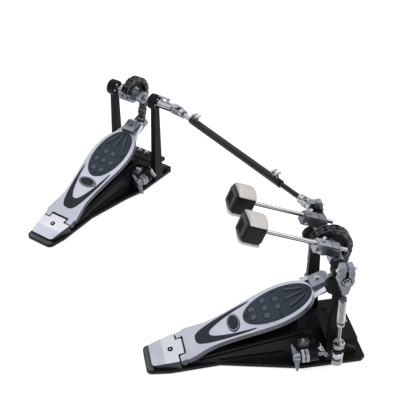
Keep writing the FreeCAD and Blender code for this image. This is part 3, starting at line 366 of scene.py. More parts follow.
# Lighter copy of the black casting for the base's side faces: painted light
LIT_CASTING_SIDE = CASTING.variant("casting side with painted light", (0.0095, 0.0112, 0.0130), (0.0150, 0.0170, 0.0195),
                               rough_high=0.54, dust=0.0, specular=0.14)
TUBE = Finish("gloss tube paint", "black_casting", (0.010, 0.011, 0.014), (0.014, 0.015, 0.018),
              0.0, 0.22, 0.30, relief=0.03, specular=0.32)
# Near-black for sheets and dots that stand in for the shade in slits, grooves, sockets and holes: painted
# shade
PAINTED_SHADE = Finish("shaded recess", "black_casting", (0.002, 0.002, 0.002), (0.003, 0.003, 0.003),
                0.0, 0.80, 0.90, relief=0.1, specular=0.05)
PLATED = Finish("bright plating", "bright_metal", (0.66, 0.67, 0.71), (0.50, 0.51, 0.55),
                1.0, 0.12, 0.24, cloud_scale=70.0, relief=0.04, under=0.75)
RODS = Finish("drawn steel rod", "bright_metal", (0.80, 0.80, 0.82), (0.66, 0.66, 0.69),
              1.0, 0.10, 0.18, cloud_scale=60.0, relief=0.03, under=0.97)
SATIN = Finish("satin holder casting", "bright_metal", (0.48, 0.51, 0.58), (0.37, 0.39, 0.45),
               0.9, 0.24, 0.38, cloud_scale=60.0, grain_scale=1800.0, relief=0.12, under=0.7)
# Darker copy of the satin casting for the lever, the wing screw and the main toe clamp: painted shade
SHADED_SATIN = SATIN.variant("satin casting with painted shade", (0.37, 0.39, 0.45), (0.28, 0.30, 0.35))
# Darker copy of the satin casting for the rear beater's holder: painted shade
SHADED_HOLDER_SATIN = SATIN.variant("holder casting with painted shade", (0.28, 0.29, 0.34), (0.20, 0.21, 0.25),
                           metallic=0.85, rough_low=0.28, rough_high=0.42, under=0.6)
DARK_SATIN = SATIN.variant("dark satin casting", (0.075, 0.078, 0.095), (0.05, 0.052, 0.064),
                           metallic=0.8, rough_low=0.32, rough_high=0.46, under=0.5)
CHAIN = Finish("oiled chain steel", "chain_steel", (0.075, 0.075, 0.080), (0.15, 0.15, 0.16),
               0.9, 0.26, 0.42, cloud_scale=160.0, relief=0.15, under=0.4)
SPRING = Finish("spring steel", "spring_steel", (0.78, 0.78, 0.80), (0.64, 0.64, 0.67),
                1.0, 0.16, 0.26, cloud_scale=120.0, under=0.5)
GRIP = Finish("slate grip rubber", "grip_rubber", (0.039, 0.052, 0.074), (0.050, 0.065, 0.090),
              0.0, 0.50, 0.66, grain_scale=2600.0, relief=0.3, dust=0.03, specular=0.2)
# Lighter copy of the grip rubber for its bumps and ridges: painted light
LIT_GRIP = GRIP.variant("grip rubber with painted light", (0.088, 0.106, 0.138), (0.108, 0.128, 0.164),
                           rough_low=0.40, rough_high=0.54, dust=0.0, specular=0.28)
# Near-black rubber round the bumps and ridges and in the beater cap's sunk panel: painted shade
GRIP_SHADE = Finish("grip rubber in shade", "grip_rubber", (0.008, 0.009, 0.012), (0.012, 0.013, 0.017),
                   0.0, 0.60, 0.75, relief=0.3, specular=0.1)
PAD_RUBBER = Finish("floor pad rubber", "floor_rubber", (0.008, 0.008, 0.008), (0.014, 0.014, 0.014),
                    0.0, 0.70, 0.85, relief=0.5, specular=0.2)
TREAD = Finish("worn heel tread", "floor_rubber", (0.105, 0.110, 0.118), (0.130, 0.135, 0.144),
               0.0, 0.45, 0.60, relief=0.3, specular=0.25)
INLAY = Finish("charcoal inlay", "inlay_plastic", (0.018, 0.022, 0.029), (0.026, 0.031, 0.039),
               0.0, 0.46, 0.60, grain_scale=2400.0, relief=0.3, specular=0.22)
CORE = Finish("beater core plastic", "beater_plastic", (0.0080, 0.0100, 0.0108), (0.0120, 0.0140, 0.0150),
              0.0, 0.34, 0.46, relief=0.12, specular=0.16)
CAP = Finish("beater cap rubber", "beater_plastic", (0.050, 0.054, 0.066), (0.068, 0.073, 0.088),
             0.0, 0.50, 0.62, relief=0.3, specular=0.3)
FELT = Finish("pressed felt", "beater_felt", (0.88, 0.85, 0.83), (0.78, 0.75, 0.73),
              0.0, 0.88, 0.98, cloud_scale=220.0, grain_scale=1500.0, relief=0.45, relief_depth=0.0002,
              sheen=0.1, specular=0.1)


class Shapes:
    """Meshes made point by point, in millimetres."""

    prism_segments = 3
    cut_shares: Pair = (0.75, 0.25)

    @staticmethod
    def sharp_edges(bm: Shape) -> list[bmesh.types.BMEdge]:
        """Edges whose two faces meet at a clear angle."""
        return [edge for edge in bm.edges if edge.calc_face_angle(0.0) > SMOOTH_ANGLE]

    @staticmethod
    def round_edges(bm: Shape, edges: list[bmesh.types.BMEdge], width: float, segments: int) -> None:
        """Round some edges of a shape."""
        bmesh.ops.bevel(bm, geom=edges, offset=width, offset_type="OFFSET", segments=segments, profile=0.5,
                        affect="EDGES", clamp_overlap=True)

    @staticmethod
    def oval(half_x: float, half_y: float, height: float, count: int, centre: float = 0.0) -> list[Point]:
        """Points round an oval that lies at one height, with its centre moved along Y."""
        angles = [math.tau * k / count for k in range(count)]
        return [(half_x * math.cos(angle), centre + half_y * math.sin(angle), height) for angle in angles]

    @staticmethod
    def loft(rings: Sequence[Sequence[Sequence[float]]]) -> Shape:
        """Join rings of points by faces and close both ends.

        Args:
            rings: Rings with equal numbers of points; a ring of one point is a pole.

        Returns:
            The closed shape.
        """
        bm = bmesh.new()
        rows = [[bm.verts.new(point) for point in ring] for ring in rings]
        for low, high in zip(rows, rows[1:]):
            count = max(len(low), len(high))
            for k in range(count):
                after = (k + 1) % count
                if len(low) == 1:
                    bm.faces.new((low[0], high[after], high[k]))
                elif len(high) == 1:
                    bm.faces.new((low[k], low[after], high[0]))
                else:
                    bm.faces.new((low[k], low[after], high[after], high[k]))
        for row in (rows[0], rows[-1]):
            if len(row) > 2:
                bm.faces.new(row)
        return bm

    @classmethod
    def lathe(cls, profile: Sequence[Pair], segments: int) -> Shape:
        """Turn a profile round Z.

        Args:
            profile: Pairs of radius and height from one end to the other; a zero radius is a pole.
            segments: Number of faces round the axis.

        Returns:
            The closed shape.
        """
        return cls.loft([cls.oval(radius, radius, height, segments) if radius else [(0, 0, height)]
                         for radius, height in profile])

    @classmethod
    def rod(cls, radius: float, half: float, edge: float, segments: int) -> Shape:
        """A round bar along Z with both ends chamfered."""
        return cls.lathe([(0, -half), (radius - edge, -half), (radius, edge - half), (radius, half - edge),
                          (radius - edge, half), (0, half)], segments)

    @classmethod
    def ring(cls, profile: Sequence[Pair], segments: int = 36) -> Shape:
        """Turn a closed profile round Z.

        Args:
            profile: Pairs of radius and height round the section.
            segments: Number of faces round the axis.

        Returns:
            The ring.
        """
        bm = bmesh.new()
        rows = [[bm.verts.new(point) for point in cls.oval(r, r, z, segments)] for r, z in profile]
        for low, high in zip(rows, [*rows[1:], rows[0]]):
            for k in range(segments):
                after = (k + 1) % segments
                bm.faces.new((low[k], low[after], high[after], high[k]))
        return bm

    @classmethod
    def prism(cls, outline: Sequence[Pair], low: float, high: float, rounding: float = 0.0) -> Shape:
        """Raise an outline in the XY plane to a plate.

        Args:
            outline: Corners in order.
            low: Height of the lower face.
            high: Height of the upper face.
            rounding: Width of the rounding of its edges, 0 for none.

        Returns:
            The closed shape.
        """
        bm = cls.loft([[(x, y, low) for x, y in outline], [(x, y, high) for x, y in outline]])
        if rounding:
            cls.round_edges(bm, cls.sharp_edges(bm), rounding, cls.prism_segments)
        return bm

    @staticmethod
    def mirrored(half: Sequence[Pair]) -> list[Pair]:
        """A whole outline from its right half; points on the middle line stay single."""
        return [*half, *((-x, y) for x, y in reversed(half) if x)]

    @classmethod
    def smooth(cls, points: Sequence[Pair], passes: int = 2) -> Sequence[Pair]:
        """Cut the corners of a closed outline a number of times."""
        for _ in range(passes):
            pairs = list(zip(points, [*points[1:], points[0]]))
            points = [(near * x + (1 - near) * u, near * y + (1 - near) * v)
                      for (x, y), (u, v) in pairs for near in cls.cut_shares]
        return points

    @staticmethod
    def placed(bm: Shape, matrix: Matrix) -> Shape:
        """A shape taken from millimetres to metres and set in a frame."""
        bm.transform(matrix @ Matrix.Scale(MM, 4))
        return bm

    @staticmethod
    def together(shapes: Iterable[Shape]) -> Shape:
        """Several shapes as one; the sources are freed."""
        whole = bmesh.new()
        for shape in shapes:
            mesh = bpy.data.meshes.new("shape")
            shape.to_mesh(mesh)
            shape.free()
            whole.from_mesh(mesh)
            bpy.data.meshes.remove(mesh)
        return whole


class Workshop:
    """Turns shapes into finished pieces that ride on the model."""

    @classmethod
    def piece(cls, name: str, bm: Shape, finishes: Sequence[Finish], body: str | None) -> Piece:
        """Make an object from a bmesh.

        Args:
            name: Name of the piece.
            bm: The shape in metres, in the row frame; it is freed here.
            finishes: Finishes in the order of the faces' material numbers.
            body: Body that the piece rides on, or None to leave it unattached.

        Returns:
            The finished piece.
        """
        bmesh.ops.recalc_face_normals(bm, faces=bm.faces)
        mesh = bpy.data.meshes.new(name)
        bm.to_mesh(mesh)
        bm.free()
        return cls.adopt(name, mesh, finishes, body)

    @classmethod
    def adopt(cls, name: str, mesh: bpy.types.Mesh, finishes: Sequence[Finish], body: str | None) -> Piece:
        """Make an object from a finished mesh, smooth but for edges at a clear angle.

        Args:
            name: Name of the piece.
            mesh: The mesh, in the row frame.
            finishes: Finishes for its material slots; none are added where it has its own.
            body: Body that the piece rides on, or None to leave it unattached.

        Returns:
            The finished piece.
        """
        mesh.shade_smooth()
        mesh.set_sharp_from_angle(angle=SMOOTH_ANGLE)
        if not mesh.materials:
            for finish in finishes:
                mesh.materials.append(finish.material())
        piece = bpy.data.objects.new(name, mesh)
        bpy.context.scene.collection.objects.link(piece)
        if body:
            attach(piece, body)
        log.info("%s: %d faces", name, len(mesh.polygons))
        return piece

    @classmethod
    def rounded(cls, node: str, width: float, finish: Finish, segments: int = 2, flank: Finish | None = None,
                up: Sequence[float] = (0, 0, 1), corners: Sequence[Vector] = ()) -> Piece:
        """Replace a solid by a copy of it whose sharp edges are rounded.

        Args:
            node: Name of the model's node.
            width: Width of the rounding in millimetres.
            finish: Finish of the piece.
            segments: Number of faces across each rounding.
            flank: Finish of the faces that aren't turned up, a darker or lighter copy that paints shade or
                light on them, or None for one finish.
            up: Direction that counts as up for the flank.
            corners: Places of upright edges that get a wide rounding.

        Returns:
            The rounded piece.
        """
        source = frame["nodes"][node]
        bm = bmesh.new()
        bm.from_mesh(source.data)
        bmesh.ops.remove_doubles(bm, verts=bm.verts, dist=WELD_DISTANCE * MM)
        bmesh.ops.dissolve_limit(bm, angle_limit=FLAT_ANGLE, verts=bm.verts, edges=bm.edges)
        for corner in corners:
            upright = [edge for edge in bm.edges
                       if all((vert.co - corner).xy.length < CORNER_REACH * MM for vert in edge.verts)]
            Shapes.round_edges(bm, upright, CORNER_WIDTH * MM, CORNER_SEGMENTS)
        Shapes.round_edges(bm, Shapes.sharp_edges(bm), width * MM, segments)
        if flank:
            cls.mark_flanks(bm, up)
        piece = cls.piece(f"{node}_finished", bm, [finish, flank] if flank else [finish], None)
        cls.even_normals(piece)
        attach(piece, source["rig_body"])
        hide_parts(node)
        return piece

    @staticmethod
    def mark_flanks(bm: Shape, up: Sequence[float]) -> None:
        """Give the second finish to the faces that aren't turned up."""
        bmesh.ops.recalc_face_normals(bm, faces=bm.faces)
        bm.normal_update()
        for face in bm.faces:
            face.material_index = int(face.normal.dot(Vector(up)) < FLANK_LIMIT)

    @staticmethod
    def even_normals(piece: Piece) -> None:
        """Let large faces rule the shading, so that roundings don't cloud them."""
        modifier = piece.modifiers.new("weighted", "WEIGHTED_NORMAL")
        modifier.keep_sharp = True
        bpy.context.view_layer.update()
        old = piece.data
        even = bpy.data.meshes.new_from_object(piece.evaluated_get(bpy.context.evaluated_depsgraph_get()))
        piece.modifiers.clear()
        piece.data = even
        bpy.data.meshes.remove(old)

    @staticmethod
    def dress(node: str, finish: Finish) -> None:
        """Give a model node a finish and leave its shape."""
        mesh = frame["nodes"][node].data
        mesh.materials.clear()
        mesh.materials.append(finish.material())


@dataclass(frozen=True)
class BoltSize:
    """Sizes of a bolt's head and of the flange below it."""

    sides: int
    radius: float
    height: float
    flange_radius: float
    flange_height: float


class GeometryTrees:
    """Trees of geometry nodes for what repeats: bolts, bumps, ridges and chain links.

    Each tree takes a mesh of bare points that carry their turn as an attribute, puts one shape on each point,
    makes the instances real and gives them their finish. The sizes written here are first values in metres.
    """

    flange_sides = 20
    post_sides = 16
    bar_sides = 14
    roller_sides = 16
    dome_segments = 28
    dome_rings = 16
    end_faces = 7
    end_share = 0.49
    crown_share = 0.78
    crown_height_share = 0.2

    @staticmethod
    def _start(name: str, sizes: dict[str, float]) -> tuple[NodeGraph, Any]:
        """Open a tree with a geometry input, float sizes and a material.

        Args:
            name: Name of the tree.
            sizes: Named sizes in metres, with their first values.

        Returns:
            The graph and its inputs, as sockets by name.
        """
        tree = bpy.data.node_groups.new(name, "GeometryNodeTree")
        tree.interface.new_socket("Points", in_out="INPUT", socket_type="NodeSocketGeometry")
        for label, value in sizes.items():
            socket = tree.interface.new_socket(label, in_out="INPUT", socket_type="NodeSocketFloat")
            socket.default_value = value
        tree.interface.new_socket("Finish", in_out="INPUT", socket_type="NodeSocketMaterial")
        tree.interface.new_socket("Geometry", in_out="OUTPUT", socket_type="NodeSocketGeometry")
        graph = NodeGraph(tree)
        return graph, graph.add("NodeGroupInput").outputs

    @staticmethod
    def _close(graph: NodeGraph, size: Any, shape: Socket) -> Tree:
        """Put the shape on every point, make it real and give it the finish.

        Args:
            graph: The tree's graph.
            size: The tree's inputs.
            shape: Geometry of one instance.

        Returns:
            The finished tree.
        """
        turn = graph.add("GeometryNodeInputNamedAttribute", {"Name": "turn"}, data_type="FLOAT_VECTOR")
        rotation = graph.add("FunctionNodeEulerToRotation", {"Euler": turn.outputs["Attribute"]})
        placed = graph.add("GeometryNodeInstanceOnPoints", {"Points": size["Points"], "Instance": shape,
                                                            "Rotation": rotation.outputs["Rotation"]})
        real = graph.add("GeometryNodeRealizeInstances", {"Geometry": placed.outputs["Instances"]})
        done = graph.add("GeometryNodeSetMaterial", {"Geometry": real.outputs["Geometry"],
                                                     "Material": size["Finish"]})
        graph.link(done.outputs["Geometry"], graph.add("NodeGroupOutput").inputs["Geometry"])
        return graph.tree

    @classmethod
    def _plate(cls, graph: NodeGraph, length: Socket, height: Socket, thickness: Socket) -> Socket:
        """A round-ended plate in the XY plane, thick along Z."""
        ring = graph.add("GeometryNodeCurvePrimitiveQuadrilateral", {"Width": length, "Height": height})
        radius = graph.scaled(height, cls.end_share)
        ends = graph.add("GeometryNodeFilletCurve", {"Curve": ring.outputs["Curve"], "Count": cls.end_faces,
                                                     "Radius": radius}, mode="POLY")
        face = graph.add("GeometryNodeFillCurve", {"Curve": ends.outputs["Curve"]}, mode="NGONS")
        wall = graph.add("GeometryNodeExtrudeMesh", {"Mesh": face.outputs["Mesh"], "Offset Scale": thickness})
        under = graph.add("GeometryNodeFlipFaces", {"Mesh": face.outputs["Mesh"]})
        return graph.joined(wall.outputs["Mesh"], under.outputs["Mesh"])

    @classmethod
    @cache
    def bolts(cls, sides: int) -> Tree:
        """Bolt heads with a number of sides on a flange, standing along each point's Z."""
        sizes = {"Head radius": 0.003, "Head height": 0.003, "Flange radius": 0.004, "Flange height": 0.001}
        graph, size = cls._start(f"Bolt heads with {sides} sides", sizes)
        radius, height, lift = size["Head radius"], size["Head height"], size["Flange height"]
        flange = graph.cylinder(cls.flange_sides, size["Flange radius"], lift)
        head = graph.cylinder(sides, radius, height)
        crown = graph.add("GeometryNodeMeshCone", {"Vertices": sides, "Radius Bottom": radius,
                                                   "Radius Top": graph.scaled(radius, cls.crown_share),
                                                   "Depth": graph.scaled(radius, cls.crown_height_share)})
        shape = graph.joined(graph.moved(flange, z=graph.scaled(lift)),
                             graph.moved(head, z=graph.math("ADD", lift, graph.scaled(height))),
                             graph.moved(crown.outputs["Mesh"], z=graph.math("ADD", lift, height)))
        return cls._close(graph, size, shape)

    @classmethod
    @cache
    def keys(cls) -> Tree:
        """Key bolts: a post along each point's Z with a bar across its top."""
        sizes = {"Post radius": 0.0025, "Post height": 0.009, "Bar radius": 0.0022, "Bar length": 0.013}
        graph, size = cls._start("Key bolts", sizes)
        post = graph.cylinder(cls.post_sides, size["Post radius"], size["Post height"])
        bar = graph.cylinder(cls.bar_sides, size["Bar radius"], size["Bar length"])
        shape = graph.joined(graph.moved(post, z=graph.scaled(size["Post height"])),
                             graph.moved(bar, z=size["Post height"], turn=(0, QUARTER, 0)))
        return cls._close(graph, size, shape)

    @classmethod
    @cache
    def domes(cls) -> Tree:
        """Low domes, half sunk in the surface at each point."""
        graph, size = cls._start("Grip domes", {"Radius": 0.005, "Height": 0.002})
        ball = graph.add("GeometryNodeMeshUVSphere", {"Segments": cls.dome_segments, "Rings": cls.dome_rings,
                                                      "Radius": 1.0})
        scale = graph.vector(size["Radius"], size["Radius"], size["Height"])
        flat = graph.add("GeometryNodeTransform", {"Geometry": ball.outputs["Mesh"], "Scale": scale})
        return cls._close(graph, size, flat.outputs["Geometry"])

    @classmethod
    @cache
    def ridges(cls) -> Tree:
        """Round-ended bars that lie along each point's X."""
        graph, size = cls._start("Grip ridges", {"Length": 0.02, "Width": 0.003, "Height": 0.0016})
        return cls._close(graph, size, cls._plate(graph, size["Length"], size["Width"], size["Height"]))

    @classmethod
    @cache
    def links(cls, rows: tuple[float, ...]) -> Tree:
        """Chain links: plates at shares of the half width, and rollers at the first pin.

        Args:
            rows: Places of the plates across the chain, as shares of its half width.

        Returns:
            The tree; a link lies along its point's Y, with its pins along X.
        """
        sizes = {"Pitch": 0.009, "Plate height": 0.007, "Plate thickness": 0.0013, "Roller radius": 0.0025,
                 "Half width": 0.008}
        graph, size = cls._start(f"Chain links with {len(rows)} plates", sizes)
        pitch, height, half = size["Pitch"], size["Plate height"], size["Half width"]
        plate = cls._plate(graph, graph.math("ADD", pitch, height), height, size["Plate thickness"])
        upright = graph.moved(plate, turn=(QUARTER, 0, QUARTER))
        plates = [graph.moved(upright, x=graph.scaled(half, row)) for row in rows]
        roller = graph.cylinder(cls.roller_sides, size["Roller radius"], graph.scaled(half, 2.0))
        first = graph.moved(roller, y=graph.scaled(pitch, -0.5), turn=(0, QUARTER, 0))
        return cls._close(graph, size, graph.joined(*plates, first))

    @staticmethod
    def scatter(name: str, tree: Tree, sizes: dict[str, float], spots: Sequence[Matrix], finish: Finish,
                body: str | None) -> Piece:
        """Grow a tree on some spots and keep the result as one plain piece.

        Args:
            name: Name of the piece.
            tree: Tree from this class.
            sizes: The tree's sizes in millimetres.
            spots: Places and turns in the row frame, in metres.
            finish: Finish of the piece.
            body: Body that the piece rides on, or None to leave it unattached.

        Returns:
            The finished piece.
        """
        mesh = bpy.data.meshes.new(f"{name}_spots")
        mesh.from_pydata([spot.translation for spot in spots], [], [])
        turns = mesh.attributes.new("turn", "FLOAT_VECTOR", "POINT")
        for number, spot in enumerate(spots):
            turns.data[number].vector = spot.to_euler("XYZ")
        seed = bpy.data.objects.new(f"{name}_spots", mesh)
        bpy.context.scene.collection.objects.link(seed)
        modifier = seed.modifiers.new("repeat", "NODES")
        modifier.node_group = tree
        for item in tree.interface.items_tree:
            if item.name in sizes and item.in_out == "INPUT":
                modifier[item.identifier] = sizes[item.name] * MM
            elif item.name == "Finish":
                modifier[item.identifier] = finish.material()
        bpy.context.view_layer.update()
        grown = bpy.data.meshes.new_from_object(seed.evaluated_get(bpy.context.evaluated_depsgraph_get()))
        bpy.data.objects.remove(seed)
        bpy.data.meshes.remove(mesh)
        grown.name = name
        return Workshop.adopt(name, grown, [finish], body)


@dataclass
class Layout:
    """Places that the sub-assemblies share, in millimetres and degrees."""

    axle_height: float = 190.0
    hinge_back: float = 238.0
    hinge_height: float = 21.8
    board_rise: float = 5.7
    board_angle: float = 22.5
    heel_angle: float = 13.0
    beater_lean: float = 68.0
    remote_place: Pair = (-560.0, -239.0)
    remote_yaw: float = 43.7
    main_chain_plane: float = -10.0
    front_beater: float = 20.0
    rear_beater: float = -55.0
    right_spring: float = 74.0
    left_spring: float = -95.0
    remote_trim: float = 9.0

    def pedal(self, side: Side) -> Matrix:
        """Frame of one pedal."""
        if side is Side.MAIN:
            return Matrix.Identity(4)
        return shift(*self.remote_place) @ turned("Z", self.remote_yaw)

    def board(self, side: Side) -> Matrix:
        """Frame of a footboard's top face, with Y along the board from its hinge."""
        return self._over_hinge(side, self.board_angle)

    def heel(self, side: Side) -> Matrix:
        """Frame of a heel plate's top face, with Y towards the hinge."""
        return self._over_hinge(side, self.heel_angle)

    def pin(self, side: Side) -> Matrix:
        """Frame in the middle of a hinge, with Z along its pin."""
        return self.heel(side) @ shift(0, 0, -self.board_rise) @ turned("Y", 90)

    def _over_hinge(self, side: Side, angle: float) -> Matrix:
        """Frame over a hinge, tilted up towards the drum."""
        hinge = shift(0, -self.hinge_back, self.hinge_height)
        return self.pedal(side) @ hinge @ turned("X", angle) @ shift(0, 0, self.board_rise)

    def axle(self, side: Side) -> Matrix:
        """Frame on a pedal's axle."""
        return self.pedal(side) @ shift(0, 0, self.axle_height)

    def beater(self) -> Matrix:
        """Frame on the main axle with Z along the leaning beaters."""
        return self.axle(Side.MAIN) @ turned("X", self.beater_lean)

    def trim(self, side: Side) -> float:
        """How much narrower a pedal's base is on its right."""
        return self.remote_trim if side is Side.REMOTE else 0.0

    def chain_plane(self, side: Side) -> float:
        """Place of a pedal's chain along its axle."""
        return self.main_chain_plane if side is Side.MAIN else 0.0


LAYOUT = Layout()


class Assembly:
    """What all sub-assemblies share: named pieces that ride on their own body or on another one."""

    name: str
    body: str

    def round_off(self, label: str, width: float, finish: Finish, **options: Any) -> Piece:
        """Round one of its solids."""
        return Workshop.rounded(f"{self.name}_{label}", width, finish, **options)

    def fit(self, label: str, finish: Finish, *shapes: tuple[Shape, Matrix], body: str = "") -> Piece:
        """Make one piece from shapes in millimetres, each with its frame."""
        whole = Shapes.together(Shapes.placed(shape, at) for shape, at in shapes)
        return Workshop.piece(f"{self.name}_{label}", whole, [finish], body or self.body)

    def repeat(self, label: str, tree: Tree, sizes: dict[str, float], spots: Sequence[Matrix], finish: Finish,
               body: str = "") -> Piece:
        """Make one piece from a tree that grows on some spots."""
        return GeometryTrees.scatter(f"{self.name}_{label}", tree, sizes, spots, finish, body or self.body)

    def bolts(self, label: str, size: BoltSize, spots: Sequence[Matrix], finish: Finish,
              body: str = "") -> Piece:
        """Bolt heads of one size on some spots."""
        sizes = {"Head radius": size.radius, "Head height": size.height, "Flange radius": size.flange_radius,
                 "Flange height": size.flange_height}
        return self.repeat(label, GeometryTrees.bolts(size.sides), sizes, spots, finish, body)

    def domes(self, label: str, size: Pair, spots: Sequence[Matrix], finish: Finish) -> Piece:
        """Domes of one radius and height on some spots."""
        return self.repeat(label, GeometryTrees.domes(), {"Radius": size[0], "Height": size[1]}, spots, finish)


@dataclass
class PedalPart(Assembly):
    """A sub-assembly that both pedals have."""

    side: Side
    body_label = "frame"

    @property
    def name(self) -> str:
        """Prefix of the names of its pieces and bodies."""
        return self.side.value

    @property
    def body(self) -> str:
        """Body that most of its pieces ride on."""
        return f"{self.name}_{self.body_label}"


@dataclass
class Base(PedalPart):
    """Base casting, floor pads, heel plate, towers and hoop clamp of one pedal."""

    casting_rounding: float = 1.2
    bracket_rounding: float = 2.0
    jaw_rounding: float = 1.0
    back_corner: Pair = (30.0, -299.0)
    heel_rounding: float = 1.4
    heel_thickness: float = 4.0
    heel_edge: Outline = ((17.4, 2.2), (17.4, -7.4), (33.7, -7.4), (26.6, -46.1), (25.7, -48.7), (24.3, -50.5),
                          (22.2, -51.6), (19.5, -52.0))
    heel_foot: float = 19.3
    heel_bend: float = -30.0
    heel_fall: float = 0.035
    skirt_share: float = 0.985
    skirt_forward: float = 0.3
    skirt_overlap: float = 0.5
    knuckle_radius: float = 5.5
    knuckle_faces: int = 32
    slit_inset: float = 0.5
    slit_span: Pair = (-0.2, 1.7)
    slit_heights: Pair = (-13.0, -2.6)
    tread: Outline = ((28.4, -288.0), (28.6, -291.0), (27.4, -294.6), (24.8, -297.0), (21.4, -297.8))
    tread_top: float = 8.8
    tread_thickness: float = 0.6
    tread_rounding: float = 0.25
    pin_radius: float = 2.5
    pin_half: float = 33.7
    pin_chamfer: float = 0.5
    pin_faces: int = 24
    heel_screw: Outline = ((0.0, -4.5), (2.4, -4.5), (2.4, 0.0), (4.3, 0.0), (4.5, 0.3), (4.5, 0.9),
                           (4.0, 1.4), (2.7, 1.4), (2.4, 1.0), (2.4, 0.2), (0.0, 0.2))
    heel_screw_faces: int = 30
    heel_screw_back: float = 18.0
    heel_highlight: Outline = ((0.0, 0.1), (1.5, 0.1), (1.5, 0.7), (0.0, 0.8))
    heel_highlight_faces: int = 20
    screw_place: Point = (64.0, -58.0, 34.0)
    wing_tilt: float = 24.0
    wing_lean: float = 9.0
    wing_thickness: float = 4.2
    wing_rounding: float = 1.5
    wing_half: Outline = ((0.0, -12.0), (8.0, -11.4), (15.0, -11.2), (20.5, -11.4), (23.5, -10.4),
                          (23.0, -8.4), (19.0, -6.6), (13.0, -4.6), (7.0, -2.0), (0.0, -0.8))
    wing_hub: Outline = ((0.0, 12.4), (5.6, 12.4), (6.8, 11.6), (7.4, 9.5), (9.0, 6.0), (9.0, 1.4), (8.0, 0.5),
                         (3.5, 0.4), (3.5, -41.0), (2.8, -42.0), (0.0, -42.0))
    wing_hub_faces: int = 28
    bush: Outline = ((3.9, -0.1), (9.6, -0.1), (11.6, -1.2), (12.0, -5.6), (10.6, -6.4), (10.6, -7.4),
                     (12.0, -8.2), (11.6, -13.0), (10.0, -14.0), (3.9, -14.0))
    bush_faces: int = 6
    bush_turn: float = 15.0
    clamp_block: Outline = ((43.4, -58.2), (56.9, -58.2), (56.9, -43.0), (53.0, -40.0), (43.4, -40.0))
    clamp_block_heights: Pair = (37.0, 51.8)
    clamp_block_rounding: float = 1.5
    clamp_bolt: BoltSize = BoltSize(4, 3.4, 4.0, 4.8, 1.4)
    clamp_bolt_place: Point = (50.0, -49.5, 51.6)
    foot_bolt: BoltSize = BoltSize(20, 4.9, 8.0, 3.8, 18.0)
    foot_bolt_place: Point = (60.0, -13.0, 25.0)
    foot_bolt_lean: float = 33.0
    foot_socket: Pair = (2.6, 0.8)
    foot_socket_rise: float = 26.5
    jaw_stud: BoltSize = BoltSize(6, 3.4, 3.5, 4.6, 1.2)
    jaw_stud_places: Outline = ((-22.0, 35.0), (-4.0, 36.0))
    jaw_stud_foot: float = 33.3
    flank_ends: Pair = (226.0, 34.0)
    flank_halves: Pair = (26.0, 41.0)
    groove_lines: tuple[Line, ...] = ((-214.0, 15.0, -46.0, 57.0), (-183.0, 12.5, -77.0, 21.5))
    groove_width: float = 4.0
    groove_floor: float = 1.0
    groove_backing: float = 0.8

    def build(self) -> None:
        """Make and dress all pieces of the base."""
        x, y = self.back_corner
        corners = [LAYOUT.pedal(self.side) @ (Vector((sign * x, y, 0)) * MM) for sign in (1, -1)]
        # The base's side faces take a lighter copy of its black: painted light
        self.round_off("base", self.casting_rounding, CASTING, flank=LIT_CASTING_SIDE, corners=corners)
        Workshop.dress(f"{self.name}_floor_pads", PAD_RUBBER)
        self.round_off("towers", self.casting_rounding, CASTING)
        Workshop.dress(f"{self.name}_bearings", PLATED)
        self.round_off("clamp_bracket", self.bracket_rounding, CASTING)
        self.round_off("clamp_jaw", self.jaw_rounding, CASTING)
        self._heel_plate()
        self._heel_trim()
        self._heel_hardware()
        self._wing_screw()
        self._bolts()
        self._grooves()

    def _heel_plate(self) -> None:
        """Heel plate with a tongue between wide slits, a skirt down to the base and the hinge's knuckle."""
        heel = LAYOUT.heel(self.side)
        plate = Shapes.prism(Shapes.mirrored(self.heel_edge), -self.heel_thickness, 0, self.heel_rounding)
        bmesh.ops.bisect_plane(plate, geom=[*plate.verts, *plate.edges, *plate.faces],
                               plane_co=(0, self.heel_bend, 0), plane_no=(0, 1, 0))
        for vert in plate.verts:
            vert.co.z += self.heel_fall * min(0.0, vert.co.y - self.heel_bend)
        rim = [(self.skirt_share * x, y + self.skirt_forward) for x, y in Shapes.mirrored(self.heel_edge[2:])]
        slope = math.tan(math.radians(LAYOUT.heel_angle))
        skirt = Shapes.loft([[(x, y, self.skirt_overlap - self.heel_thickness) for x, y in rim],
                             [(x, y, -slope * y - self.heel_foot) for x, y in rim]])
        half, radius = self.heel_edge[0][0], self.knuckle_radius
        knuckle = Shapes.lathe([(0, -half), (radius, -half), (radius, half), (0, half)], self.knuckle_faces)
        bm = Shapes.together([Shapes.placed(plate, heel), Shapes.placed(skirt, heel),
                              Shapes.placed(knuckle, LAYOUT.pin(self.side))])
        # Faces that aren't turned up get dark satin: painted shade
        Workshop.mark_flanks(bm, heel.to_3x3() @ Vector((0, 0, 1)))
        # Upward faces ahead of the bend get the lighter copy of the polish: painted highlight
        forward = heel.to_3x3() @ Vector((0, 1, 0))
        bend = heel @ (Vector((0, self.heel_bend, 0)) * MM)
        for face in bm.faces:
            ahead = (face.calc_center_median() - bend).dot(forward) > 0
            face.material_index += 2 * int(ahead and face.material_index == 0)
        finishes = [POLISHED, DARK_SATIN, LIT_HEEL_FRONT]
        piece = Workshop.piece(f"{self.name}_heel_plate_finished", bm, finishes, self.body)
        Workshop.even_normals(piece)
        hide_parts(f"{self.name}_heel_plate")

